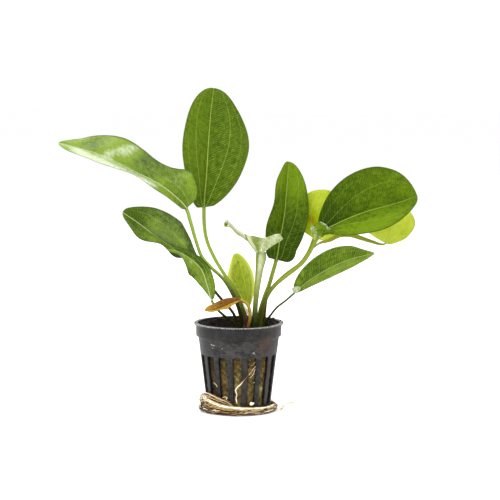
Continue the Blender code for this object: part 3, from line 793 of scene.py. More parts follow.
@dataclass(frozen=True)
class Flap:
    """A torn or crumpled scrap of blade, given by a small grid of points in millimetres.

    tones runs across it, evenly spaced, each between the skin's two greens; above 1 it goes on to the
    colour of its bloom, painted highlights on the scrap's silvery facets, and below 0 to that of its
    margin, which on the young leaf's web paints a dark line of shade.
    """

    points: tuple[tuple[Point, ...], ...]
    tones: Row
    crumple: float = 0.35
    seed: int = 1
    thickness: float = 0.3

    def shape(self) -> Shape:
        """The scrap as a thin closed sheet, pushed about by noise whose waves are about 3 mm long.

        Returns:
            The sheet, with a leaf's marks.
        """
        grid = patch(np.array(self.points, float), 26, 26)
        normal = unit(np.cross(np.gradient(grid, axis=1), np.gradient(grid, axis=0)))
        push = self.crumple * waviness(grid, 3.2, self.seed)
        folds = waviness(grid, 1.8, self.seed + 5)
        grid = grid + normal * push[..., None]
        place = np.linspace(0, 1, len(self.tones))
        across = np.interp(np.linspace(0, 1, grid.shape[1]), place, self.tones)
        # Tones above 1 paint pale highlights, and tones below 0 a line in the margin's colour
        tone = across + 0.6 * self.crumple * folds
        marks = leaf_marks(grid.shape[:2], tone)
        marks["skin"][..., 2] = np.clip(-2 * tone, 0, 1)
        return shell(grid, self.thickness, marks)


@dataclass(frozen=True)
class Leaf:
    """One leaf: a round stalk that turns into a thin blade, whose outline is an ellipse along the midrib.

    stem and rib are the centre lines of the stalk and the midrib. Along the blade t runs from 0 at its
    base to 1 at its tip, and each table has rows (t, left, right): width gives the ellipse's
    half-widths, slope how many degrees each half rises from the blade's plane, tone where its colour
    lies between the skin's two greens (above 1 it goes silvery, into painted glints), and sheen how wet it
    shines. The tone holds painted light and shade as well as the leaf's own colour: a half or a patch that
    faces the light is painted lighter, and a shaded one darker. facing gives the azimuth and elevation
    that the plane looks to. curl and lobe have a value for each half:
    how many degrees it bends from midrib to margin, and how far its base reaches back. cup is the bulge
    of each half as a share of its width, and wave the height in millimetres and the count of the
    margin's waves. wing has rows (share of the stalk, millimetres): how far the blade runs down the
    stalk as a narrow wing on each side. dusk is the share of the stalk that stays dark, partly painted
    shade near the crown, and spots has rows (t, share of the half-width from -1 to 1, radius in
    millimetres, how far the tone falls); a spot that raises the tone paints a pale patch, most of them
    painted glints, and one that lowers it paints rust or a darker patch, some of them painted shade.
    """

    name: str
    skin: LeafSkin
    slot: str
    stem: tuple[Point, ...]
    rib: tuple[Point, ...]
    girth: tuple[float, float]
    width: Rows
    slope: Rows
    facing: Rows
    curl: tuple[float, float] = (0.0, 0.0)
    lobe: tuple[float, float] = (0.0, 0.0)
    tone: Rows = ((0, 0.5, 0.5), (1, 0.5, 0.5))
    sheen: Rows = ((0, 0.2, 0.2), (1, 0.2, 0.2))
    cup: float = 0.03
    wave: tuple[float, float] = (0.5, 2.5)
    thickness: float = 0.42
    flaps: tuple[Flap, ...] = ()
    wing: Rows = ((0, 0.0), (1, 0.0))
    dusk: float = 0.0
    spots: Rows = ()

    def frames(self, at: Array, start: float, knots: Array) -> tuple[Array, Array, Array, Array]:
        """Position, direction, right-hand side and upward normal at each distance along the leaf.

        Args:
            at: the distances from the stalk's foot.
            start: the distance at which the blade begins.
            knots: the distance of each point of the centre line.

        Returns:
            Four arrays of vectors, all square to one another but the first.
        """
        line = np.array(self.stem + self.rib)
        step = 0.2 + 2.8 * smoothstep(start - 3, start + 1, at)
        place = spline(knots, line, at)
        ahead, behind = np.minimum(at + step, knots[-1]), np.maximum(at - step, 0)
        forward = unit(spline(knots, line, ahead) - spline(knots, line, behind))
        share = np.clip((at - start) / (knots[-1] - start), 0, 1)
        table = np.array(self.facing, float)
        azimuth, elevation = (np.radians(np.interp(share, table[:, 0], column)) for column in table[:, 1:].T)
        look = np.stack(
            [np.sin(azimuth) * np.cos(elevation), -np.cos(azimuth) * np.cos(elevation), np.sin(elevation)], 1
        )
        normal = unit(look - (look * forward).sum(1, keepdims=True) * forward)
        return place, forward, np.cross(forward, normal), normal

    def shape(self) -> Shape:
        """The whole leaf as one closed loft.

        Each ring has columns from the left margin over the top to the right margin and back beneath.
        On the stalk the ring is a circle with a shallow channel. On the blade a point at the share
        `out` of the half-width stands at out * width along the raised half, plus the bulge
        cup * width * sin(pi * out) and the margin's wave; the two skins lie half the thickness from
        it, with a groove over each vein, and the midrib's keel beneath. The first rings of the blade
        blend from one to the other. The columns crowd towards the veins.

        Returns:
            The leaf with the marks "veins", "skin" and "body".
        """
        line = np.array(self.stem + self.rib)
        knots = along(line)
        start, total = knots[len(self.stem)], knots[-1]
        stalk_at = np.linspace(0, start, max(12, int(start / 1.3)), endpoint=False)
        rings = max(44, int((total - start) / 0.8))
        turn = np.pi * np.arange(1, rings) / rings
        share = (1 - np.cos(turn)) / 2
        at = np.concatenate([stalk_at, start + share * (total - start)])
        first = len(stalk_at)
        place, forward, right, normal = self.frames(at, start, knots)

        # Where the columns stand: eight steps from the midrib to each vein and to the margin
        steps = 8
        eased_step = (1 - np.cos(np.pi * np.arange(steps) / steps)) / 2
        inner, outer = eased(VEINS, share).T[:, :, None]
        spans = ((0, inner), (inner, outer), (outer, 1))
        stretches = [low + (high - low) * eased_step for low, high in spans]
        half = np.concatenate([*stretches, np.ones((len(share), 1))], 1)
        out = np.concatenate([half[:, ::-1], half[:, 1:], half[:, -2::-1], half[:, 1:-1]], 1)
        count = 3 * steps
        number = np.concatenate([np.arange(-count, count + 1), np.arange(count - 1, -count, -1)])
        side = (number >= 0).astype(int)
        skin = np.ones(len(number))
        skin[2 * count + 1 :] = -1.0
        skin[[0, 2 * count]] = 0.0

        angle = np.pi / 2 * (1 - number / count)
        angle = np.where(skin < 0, -angle, angle)
        swell = 1 - 0.13 * np.exp(-(((angle - np.pi / 2) / 0.45) ** 2)) + 0.02 * np.cos(11 * angle)
        foot, neck = self.girth
        girth = np.interp(at, [0, 0.1 * start, 0.35 * start, start], [foot * 1.1, foot, neck * 1.02, neck])
        flat = np.interp(at, [0, 0.2 * start], [0.82, 1.0])
        ring = girth[:, None] * swell
        wing = eased(self.wing, at / start) * np.cos(angle)
        stalk = (
            place[:, None]
            + (ring * np.cos(angle) + wing)[..., None] * right[:, None]
            + (ring * np.sin(angle) * flat[:, None])[..., None] * normal[:, None]
        )

        place, forward, right, normal = (each[first:, None] for each in (place, forward, right, normal))
        width = (eased(self.width, share) * np.sin(turn)[:, None])[:, side]
        slope = eased(self.slope, share)[:, side]
        signed = np.where(side == 1, 1.0, -1.0)
        bend = np.array(self.curl)[side]
        tilt = np.radians(slope + bend * (out - 0.5)) * (out > 0)
        away = right * signed[None, :, None]
        cos, sin = np.cos(tilt)[..., None], np.sin(tilt)[..., None]
        outward = cos * away + sin * normal
        up = cos * normal - sin * away
        swept = (((1 + np.cos(turn)) / 2) ** 3)[:, None]
        back = np.array(self.lobe)[side] * out**2 * swept
        across = out * width
        rise = self.cup * width * np.sin(np.pi * out) * np.sin(turn)[:, None] ** 0.5
        height, waves = self.wave
        ripple = height * out**2.5 * np.sin(2 * np.pi * waves * share[:, None] + 1.7 * signed + 0.8)
        rise = rise + ripple * np.minimum(1, width / 8)

        taper = (1 - share)[:, None]
        mid_half = 0.22 + 0.5 * neck * taper**0.8
        vein_half = 0.14 + 0.2 * taper
        scale = np.minimum(1.0, width / 3.0)
        veins = [across / mid_half, (out - inner) * width / vein_half, (out - outer) * width / vein_half]
        dip = [np.exp(-(each**2)) for each in veins]
        thick = (self.thickness * (1 - out**4) + 0.1) * scale / 2
        keel = 2 * (neck + (0.18 - neck) * (1 - taper**1.3)) - self.thickness
        groove = scale * (0.16 * dip[0] + 0.09 * dip[1] + 0.05 * dip[2])
        ridge = np.maximum(keel, 0.05) * np.exp(-((across / (0.35 + 0.75 * neck * taper)) ** 2) * 1.4)
        ridge = ridge * np.minimum(1, width / 1.5) + scale * (0.12 * dip[1] + 0.07 * dip[2])
        offset = np.where(skin > 0, thick - groove, np.where(skin < 0, -thick - ridge, 0.0))
        blade = place + across[..., None] * outward - back[..., None] * forward
        blade = blade + (rise + offset)[..., None] * up

        mixed = smoothstep(0.0, 1.6 * neck, at - start)[:, None, None]
        points = stalk.copy()
        points[first:] = stalk[first:] * (1 - mixed[first:]) + blade * mixed[first:]

        marks = leaf_marks(points.shape[:2])
        marks["veins"][first:] = np.stack(veins, -1)
        # Each half's tone: the leaf's own colour with painted light and shade
        tone = eased(self.tone, share)
        blend = smoothstep(-1.5, 1.5, across * signed)
        marks["skin"][first:, :, 0] = tone[:, :1] * (1 - blend) + tone[:, 1:] * blend
        length = (at - start)[first:, None]
        # Spots that raise the tone paint pale patches, most of them painted glints; those that lower it paint
        # rust and darker patches
        for where, sideways, radius, depth in self.spots:
            gap = (length - where * (total - start)) ** 2 + ((out * signed - sideways) * width) ** 2
            marks["skin"][first:, :, 0] -= depth * np.exp(-gap / radius**2)
        # One cross-vein every 1.4 mm, which runs forward by half its way outwards
        marks["skin"][first:, :, 1] = (length - 0.5 * across) / 1.4
        marks["skin"][..., 2] = np.abs(number) / count
        marks["skin"][first:, :, 2] = out
        marks["body"][..., 0] = (1 - skin) / 2
        marks["body"][..., 1] = 1 - smoothstep(-0.5, 0.8 * neck, at - start)[:, None]
        # Up to the share dusk the stalk keeps its dark foot colour: partly its own darker base, partly
        # painted shade near the crown
        marks["body"][..., 2] = np.clip((at / start - self.dusk) / (1 - self.dusk), 0, 1)[:, None]
        sheen = eased(self.sheen, share)
        marks["body"][first:, :, 2] = sheen[:, :1] * (1 - blend) + sheen[:, 1:] * blend
        made = grown(points, line, marks)
        for flap in self.flaps:
            made = made.joined(flap.shape())
        return made

    def build(self) -> None:
        """Makes the leaf in place of its CAD solid."""
        self.shape().place(f"{self.name}_skin", self.skin.make(), self.slot, self.name)


# A mature leaf: matt, mid green, a paler raised rib and fine cross-veins
TALL_SKIN = LeafSkin(
    name="mature_leaf", deep="#364c02", light="#5a7412", rib="#9fb04e", edge="#4d6312", under="#6d8335",
    foot="#4d4a18", neck="#8fa63e", gloss=Gloss.MATT, ladder=0.4,
)
# Leaves with a shiny cuticle: the studio's white shows in them as broad pale patches, partly reflected by the
# wet coat and partly painted as glints in the bloom colour
GLOSS_SKIN = LeafSkin(
    name="waxy_leaf", deep="#3c5502", light="#7b9626", vein=0.3, rib="#c3cf96", edge="#33430c",
    under="#a3b266", glint="#dbe3c6", foot="#2c2e0e", neck="#90aa42", gloss=Gloss.WET, ladder=0.12,
)
# The darkest leaves, bluish on the side away from the light
DARK_SKIN = LeafSkin(
    name="shaded_leaf", deep="#2d4502", light="#66820c", rib="#9fb050", edge="#41560c", under="#5f7633",
    foot="#4c4d18", neck="#8a9a36", gloss=Gloss.MATT, vein=0.5, ladder=0.16,
)
# Leaves that are yellowing: the light goes through them, and brown spots begin
YELLOW_SKIN = LeafSkin(
    name="yellowing_leaf", deep="#9fb004", light="#bfcb44", rib="#d3da70", edge="#9a9426", rim=0.95,
    glint="#eef0c0", decay="#94780e", under="#bcc850", foot="#4a4312", neck="#98a033", ladder=0.25, glow=0.35,
    rust=0.3,
)
# The newest leaf, still folded: pale, with silvery painted highlights in the bloom colour; its dark edge
# colour paints shade on the rolled blade and the web
PALE_SKIN = LeafSkin(
    name="young_leaf", deep="#74861a", light="#c8ceaa", rib="#cdd2b0", edge="#2f4209", under="#dfe3cc",
    foot="#1f2b08", neck="#8f9c4c", ladder=0.12, glow=0.25, stalk_side="#2c3a0c", glint="#f4f5ec",
)
# A small leaf at the back, its margins yellow
SMALL_SKIN = LeafSkin(
    name="small_leaf", deep="#6c8212", light="#adbb3e", rib="#b6bf48", edge="#dcdc6c", under="#9fae44",
    foot="#4a3f16", neck="#7f8c2c", ladder=0.25, glow=0.3, rust=0.12, rim=0.6,
)
# A leaf in full light on thin tissue
LOWER_SKIN = LeafSkin(
    name="thin_leaf", deep="#3c5602", light="#688016", rib="#95a65a", vein=0.4, edge="#74843c",
    under="#768a50", foot="#20260a", neck="#3f5214", gloss=Gloss.WAXY, ladder=0.4,
)
# A dying leaf: leathery and brown, its tip gone to ochre
DEAD_SKIN = LeafSkin(
    name="dying_leaf", deep="#6d4019", light="#a58127", glint="#cbb75e", rib="#5a3414", edge="#5f3d18",
    under="#80602c", foot="#6b3a1a", neck="#aa9434", ladder=0.1, glow=0.12, rust=0.6,
)

# The crumpled base of the large right leaf: its tones above 1 paint silvery facets, painted highlights on its
# pale underside
LARGE_FLAP = Flap(
    points=(
        ((42.9, -6.2, 109.9), (45.2, -6.8, 112.3), (48.7, -7.2, 114.3)),
        ((44, -7.2, 107.7), (47.3, -9.6, 110.1), (51.7, -8.4, 112.7)),
        ((46.1, -7.2, 105.5), (49.4, -8.8, 107.2), (54.7, -7.9, 109.6)),
        ((47.9, -6.6, 104.3), (51.4, -7.4, 105.8), (55.5, -7.1, 108.3)),
    ),
    tones=(1.9, 1.7, 0.9, 0.8, 1.9), crumple=1.1,
)
# The crumpled base of the lower right leaf: its tones above 1 paint silvery facets, painted highlights
LOWER_FLAP = Flap(
    points=(
        ((31.4, -13.6, 75.2), (34, -15.6, 76.2), (37.2, -17, 76.5)),
        ((32, -14.4, 73.6), (34.2, -16.6, 74.4), (36.7, -17.4, 75.1)),
        ((33.2, -14.2, 71.7), (34.7, -15.8, 72.8), (36.2, -16.8, 74)),
    ),
    tones=(1.6, 2, 1.6), crumple=0.5, seed=4,
)

# Each leaf's tone table and spots hold painted light as well as its colour: lit halves and patches are
# painted lighter, shaded ones darker, and pale spots and tones above 1 are painted glints
LEAVES = (
    Leaf(
        name="leaf_tall", skin=TALL_SKIN, slot="leaf_green",
        stem=(
            (4.2, 5.6, 48.6), (3.4, 5.4, 57.5), (-0.9, 7, 68.5), (-9, 9.5, 81), (-14.8, 11.5, 90.5),
            (-19.7, 13.2, 102), (-21.2, 14.4, 114),
        ),
        rib=((-21.2, 15, 121), (-19.8, 18, 140.5), (-18.5, 23, 163), (-17.2, 27, 179), (-15.5, 31, 193.5)),
        girth=(1.4, 1.05), dusk=0.05, lobe=(2, 0.5),
        width=((0, 19.6, 21.4), (0.3, 19.2, 24.2), (0.5, 18.8, 25.4), (1, 17, 20.5)),
        slope=((0, 45, 20), (0.5, 38, 8), (1, 25, 5)), facing=((0, 0, 10), (1, 0, 12)),
        # Its left half is painted lighter than its right: painted light on the half that tilts towards the
        # light
        tone=((0, 0.5, 0.3), (0.4, 0.8, 0.4), (1, 0.6, 0.3)), cup=0.02, wave=(0.5, 2),
    ),
    Leaf(
        name="leaf_left_upper", skin=GLOSS_SKIN, slot="leaf_gloss",
        stem=(
            (1.6, 2.8, 48.6), (1.2, 2.2, 56), (-2.8, 1.2, 68), (-9.1, -0.4, 78.9), (-16.8, -2.2, 86.6),
            (-22, -3.4, 92.8), (-25.2, -4.4, 101.7), (-28.8, -5.4, 114.5),
        ),
        rib=(
            (-31, -6, 121.6), (-37.7, -7, 129), (-49, -8.6, 137.5), (-60, -10, 143.2), (-81.6, -13, 154),
            (-105.3, -16, 161),
        ),
        girth=(1.2, 1), dusk=0.15,
        width=((0, 13, 30), (0.12, 13, 28), (0.25, 15.5, 20), (0.5, 19, 18.5), (0.8, 17.5, 16), (1, 12, 9)),
        slope=(
            (0, 10, 45), (0.12, 10, 40), (0.2, 15, 19), (0.3, 20, 8), (0.45, 24, 20), (0.6, 21, 27),
            (0.75, 12, 21), (0.9, 8, 7), (1, 5, 7),
        ),
        facing=((0, 0, 63), (1, 0, 63)),
        # Its near half's tone passes 1, a painted reflection of the white studio along it, and its pale spots
        # are painted glints
        tone=(
            (0, 0.3, 0.5), (0.2, 1.1, 0.4), (0.35, 1.6, 0.35), (0.6, 1.7, 0.6), (0.85, 1.65, 0.75),
            (1, 1, 0.6),
        ),
        spots=(
            (0.57, 0.5, 7, -1.1), (0.5, 0.85, 5, -0.9), (0.76, 0.45, 5, 0.35), (0.42, 0.6, 4.5, 0.3),
            (0.32, 0.85, 5, 0.2), (0.9, 0.4, 4, -0.4), (0.1, 0.75, 3.5, -0.4), (0.25, 0.2, 4, -0.35),
            (0.66, 0.15, 4.5, -0.9),
        ),
        sheen=((0, 0.1, 0.2), (0.2, 0.8, 0.4), (0.4, 1.4, 1), (0.62, 1.6, 1.6), (1, 1.2, 1)), wave=(0.5, 3),
    ),
    Leaf(
        name="leaf_left_middle", skin=GLOSS_SKIN, slot="leaf_gloss",
        stem=((-0.9, -0.7, 48.6), (-2.6, -2, 57.2), (-9.4, -4, 66.2), (-14.5, -5.6, 72.6), (-19.2, -7.6, 80)),
        rib=(
            (-23, -10, 87), (-31, -14.5, 95), (-40.8, -19, 101), (-51.7, -25, 109.5), (-60, -30, 116.5),
            (-66.6, -34, 121.5),
        ),
        girth=(0.9, 0.8), dusk=0.6,
        width=((0, 3, 8.6), (0.22, 7, 12.4), (0.4, 13, 16.5), (0.7, 11.5, 15.8), (1, 8, 12.4)),
        slope=((0, 10, 5), (0.3, 22, 30), (0.55, 30, 34), (0.8, -5, 20), (1, -18, 15)),
        facing=((0, 0, 50), (1, 0, 48)),
        # Its pale spots are painted glints and a painted gloss patch beside the midrib
        tone=((0, 0, -0.15), (0.3, 0.15, -0.1), (0.5, 0.3, 0.2), (1, 0.15, 0)),
        spots=(
            (0.45, 0.3, 6, -0.5), (0.34, 0.35, 5, -0.4), (0.64, 0.35, 5, -0.45), (0.27, 0.4, 4, -0.6),
            (0.6, -0.5, 4, -0.2), (0.85, 0.6, 5, 0.1),
        ),
        sheen=((0, 0, 0), (0.2, 0, 0.6), (0.4, 0.1, 1.6), (0.55, 0.3, 1.6), (0.75, 0.2, 0.4), (1, 0, 0)),
        cup=0.04, wave=(0.7, 2.5),
    ),
    Leaf(
        name="leaf_left_lower", skin=GLOSS_SKIN, slot="leaf_gloss",
        stem=((0.2, -4.2, 48.6), (-2.6, -5.6, 52.8), (-8.3, -8.2, 57.6), (-12.6, -10.4, 62)),
        rib=(
            (-15.9, -12.4, 67.4), (-18.6, -14.6, 77), (-22.2, -17.6, 87), (-29.3, -22, 94),
            (-36.3, -27.8, 98.6), (-41.6, -33.8, 100.2),
        ),
        girth=(0.9, 0.75), dusk=0.6,
        width=((0, 1, 6.4), (0.16, 3.8, 6.1), (0.29, 6, 5.6), (0.45, 8.2, 4.9), (0.7, 13.2, 4.5), (1, 11, 4)),
        slope=((0, 8, 20), (0.4, 5, 25), (0.7, 12, 20), (1, 20, 10)), facing=((0, 0, 35), (1, 0, 45)),
        tone=((0, 0.5, 0.6), (0.3, 0.8, 0.5), (0.5, 0.85, -0.1), (0.8, 0.85, -0.15), (1, 0.8, 0.1)),
        # The pale spots along the rib are painted glints on its ridge; those at the left margin darken it
        spots=(
            (0.48, -0.14, 2.4, -0.5), (0.6, -0.14, 2.6, -0.7), (0.74, -0.14, 2.8, -0.8),
            (0.88, -0.14, 2.6, -0.7), (0.45, -0.92, 2.6, 0.8), (0.6, -0.92, 3, 0.9), (0.75, -0.92, 3, 0.9),
            (0.88, -0.92, 2.6, 0.7),
        ),
        sheen=((0, 0, 0), (0.5, 0.3, 0), (0.8, 0.5, 0.1), (1, 0.3, 0.1)), cup=0.04, wave=(0.4, 2),
    ),
    Leaf(
        name="leaf_centre_upright", skin=DARK_SKIN, slot="leaf_dark",
        stem=((11.6, 2.4, 48.6), (13, 3.8, 59), (15.6, 5.2, 67.5), (18, 5.7, 73.7), (20.2, 6, 81)),
        rib=(
            (22.6, 6.4, 89.6), (24.9, 8, 103), (27.3, 10.5, 116), (28.7, 14, 130), (29.5, 17, 139),
            (30.2, 20, 148.8),
        ),
        girth=(1.35, 1.2), dusk=0.12,
        width=(
            (0, 22, 24), (0.03, 20, 23), (0.15, 17, 16), (0.25, 16, 15.5), (0.4, 13.5, 15), (1, 9.5, 13.4),
        ),
        slope=((0, 40, 15), (0.5, 48, 8), (1, 40, 0)), facing=((0, 4, 8), (1, 4, 14)), lobe=(1.3, 1.6),
        tone=((0, 0.1, -0.1), (0.5, 0.4, 0.3), (1, 1, 0.95)),
        spots=((0.75, 0.35, 5, -0.2), (0.5, -0.5, 5, -0.15), (0.3, 0.6, 4, 0.15)), wave=(0.7, 2.5),
    ),
    Leaf(
        name="leaf_right_large", skin=DARK_SKIN, slot="leaf_dark",
        stem=(
            (12.8, -0.9, 48.6), (14, -0.8, 57.3), (15.6, -1.4, 64.8), (17.9, -2, 70.2), (21.8, -2.8, 75.4),
            (27.7, -3.6, 80.6), (33.5, -4.2, 85.1), (38.4, -4.6, 89.5), (42.6, -4.8, 95.8),
            (46.6, -5.2, 103.2),
        ),
        rib=(
            (51.6, -5.9, 109), (58, -6.7, 112.6), (74.5, -9, 119.8), (93.3, -11.5, 125.4),
            (105.4, -13.4, 129.8),
        ),
        girth=(1.2, 1), dusk=0.1,
        width=((0, 20, 10), (0.25, 22.8, 15.5), (0.5, 24.6, 18.7), (0.8, 27, 16), (1, 29.5, 15.5)),
        slope=((0, 14, 46), (0.5, 6, 46), (1, 2, 40)), facing=((0, 0, 6), (1, 0, 4)), lobe=(2.5, 2.5),
        # Its lower half is painted paler, with pale spots: painted light and sheen where it faces up
        flaps=(LARGE_FLAP,), tone=((0, -0.05, 0.35), (0.4, 0.32, 0.5), (1, 0.45, 0.4)),
        spots=(
            (0.2, 0.75, 6, -0.5), (0.4, 0.8, 7, -0.6), (0.6, 0.75, 7, -0.6), (0.78, 0.7, 6, -0.4),
            (0.15, -0.6, 8, 0.15), (0.55, -0.25, 6, -0.15), (0.8, -0.5, 6, -0.2),
        ),
        wave=(0.7, 2),
    ),
    Leaf(
        name="leaf_yellow_inner", skin=YELLOW_SKIN, slot="leaf_yellow",
        stem=(
            (11.2, 6, 48.6), (13.4, 7.6, 58), (17.6, 9.4, 69.2), (27.6, 12, 79.8), (38.4, 14.4, 88.2),
            (42.4, 15.6, 94),
        ),
        rib=((45.6, 16.8, 101.8), (48.6, 18, 108.4), (51.8, 20, 116), (55, 22.4, 123.4), (58, 24.8, 130)),
        girth=(0.95, 0.8), width=((0, 16.5, 18), (0.5, 16.5, 17), (1, 16.5, 17)),
        slope=((0, 18, 18), (1, 8, 8)), facing=((0, -6, 6), (1, -6, 10)),
        tone=((0, 0.5, 1.2), (0.3, 0.25, 0.8), (1, 0.6, 0.5)),
        spots=(
            (0.33, -0.45, 3.8, 1.05), (0.28, -0.1, 3, 0.7), (0.52, -0.75, 2.6, 0.7), (0.12, -0.4, 3, 0.4),
            (0.62, 0.3, 1.6, 0.8), (0.75, -0.3, 4, -0.2),
        ),
        wave=(0.6, 2),
    ),
    Leaf(
        name="leaf_yellow_outer", skin=YELLOW_SKIN, slot="leaf_yellow",
        stem=(
            (15.2, 2, 48.6), (15.6, 2.3, 58), (17.8, 2.9, 69.8), (27.5, 4.6, 80.4), (38.2, 6.2, 89),
            (42.9, 6.8, 95), (48.6, 7.6, 99.8), (55, 9, 101.6), (61.2, 10.4, 104.4), (67.4, 11.6, 104.6),
            (73.7, 12.8, 102.8), (80, 14, 100.6),
        ),
        rib=((89.6, 16, 99), (92.2, 17, 103), (93.4, 18.4, 108), (93.8, 20.4, 116), (93, 22, 122)),
        girth=(0.95, 0.5),
        width=((0, 40, 4.5), (0.1, 38, 6.6), (0.3, 28, 11.6), (0.6, 18.5, 14.2), (1, 12, 13)),
        slope=((0, 25, 15), (1, 12, 12)), facing=((0, 8, 10), (1, 8, 14)), lobe=(6, 0),
        wing=((0, 0), (0.55, 0), (0.68, 0.7), (0.8, 0.9), (0.93, 0.5), (1, 0)),
        tone=((0, 1.1, 0.9), (0.4, 0.5, 0.9), (1, 0.4, 0.9)),
        # Its broad pale and dark spots paint the light and shade of its folds
        spots=(
            (0.55, -0.35, 1.4, 0.7), (0.75, 0.4, 1.2, 0.6), (0.15, 0.3, 4, -0.4), (0.3, -0.3, 5, -0.4),
            (0.5, 0.6, 3.5, 0.3), (0.12, -0.5, 4, 0.4), (0.65, -0.2, 3.5, -0.4),
        ),
        wave=(0.6, 2),
    ),
    Leaf(
        name="leaf_small_back", skin=SMALL_SKIN, slot="leaf_yellow", stem=((7, 7.3, 48.6), (6.8, 8.4, 54)),
        rib=((6, 10, 61), (4.5, 13, 70.5), (2.3, 16.5, 80), (0, 19.5, 87.4), (-2.2, 22, 92.3)),
        girth=(1, 0.9), width=((0, 6, 5), (0.5, 10.3, 6.6), (1, 6.8, 5.6)),
        slope=((0, 30, 30), (0.5, 16, 16), (1, 8, 8)), facing=((0, 0, 14), (1, 0, 18)),
        tone=((0, 0.4, 0.4), (0.6, 0.4, 0.5), (1, 0.9, 0.9)),
        spots=((0.82, -0.1, 0.7, 1.6), (0.7, 0.35, 0.5, 0.9), (0.35, -0.5, 0.4, 0.8)), wave=(0.3, 2),
    ),
    Leaf(
        name="leaf_right_lower", skin=LOWER_SKIN, slot="leaf_green",
        stem=((14.3, -5.3, 48.6), (15.6, -6, 52.5), (19.3, -8, 58.4), (22.6, -10, 62.9), (28, -12.2, 67.5)),
        rib=(
            (33.4, -14.4, 72.6), (42.3, -18, 80.5), (51.2, -22, 86.6), (60, -26.5, 91.6), (69, -31, 95.2),
            (78.6, -36, 98),
        ),
        girth=(1, 0.6), dusk=0.4,
        width=((0, 9.3, 4.6), (0.5, 10.4, 6.6), (0.75, 9.2, 6.4), (0.9, 5.6, 5.6), (1, 4.2, 4)),
        slope=((0, 20, 20), (0.5, 14, 14), (1, 10, 10)), facing=((0, 0, 28), (1, 0, 28)),
        tone=((0, 0.2, 0.5), (0.5, 0.2, 0.6), (0.85, 0.4, 0.7), (1, 0.8, 1)),
        # Its small pale spots near the base are painted glints
        spots=(
            (0.3, 0.35, 4, -0.5), (0.5, 0.4, 4.5, -0.5), (0.72, 0.4, 3.5, -0.4), (0.1, -0.5, 1.6, -1),
            (0.2, -0.75, 1.3, -1.2), (0.06, -0.2, 1.2, -1), (0.65, -0.4, 4, -0.4), (0.35, -0.35, 4, 0.2),
        ),
        sheen=((0, 0, 1.2), (0.6, 0, 1), (1, 0.2, 0.6)), wave=(0.4, 2), flaps=(LOWER_FLAP,),
    ),
    Leaf(
        name="leaf_brown", skin=DEAD_SKIN, slot="leaf_dead",
        stem=((5.2, -6.2, 48.6), (6.8, -8.6, 56), (6.6, -10, 62), (4, -11.6, 66.4)),
        rib=((1, -13, 68), (-4, -15, 66.6), (-9, -17, 64.3), (-14, -19.5, 62.8), (-19.8, -22.4, 62.8)),
        girth=(1, 0.9), width=((0, 3.6, 3.6), (0.5, 4.8, 4.4), (1, 5, 4.4)),
        slope=((0, 20, 20), (0.5, 35, 35), (1, 30, 30)), facing=((0, 0, 40), (1, 0, 55)),
        tone=((0, 0.9, 0.2), (0.5, 1.05, 0.15), (0.8, 1.3, 0.6), (1, 1.4, 1.3)),
        sheen=((0, 0.4, 0.4), (1, 0.8, 0.4)), cup=0.1, wave=(0.8, 2),
    ),
)


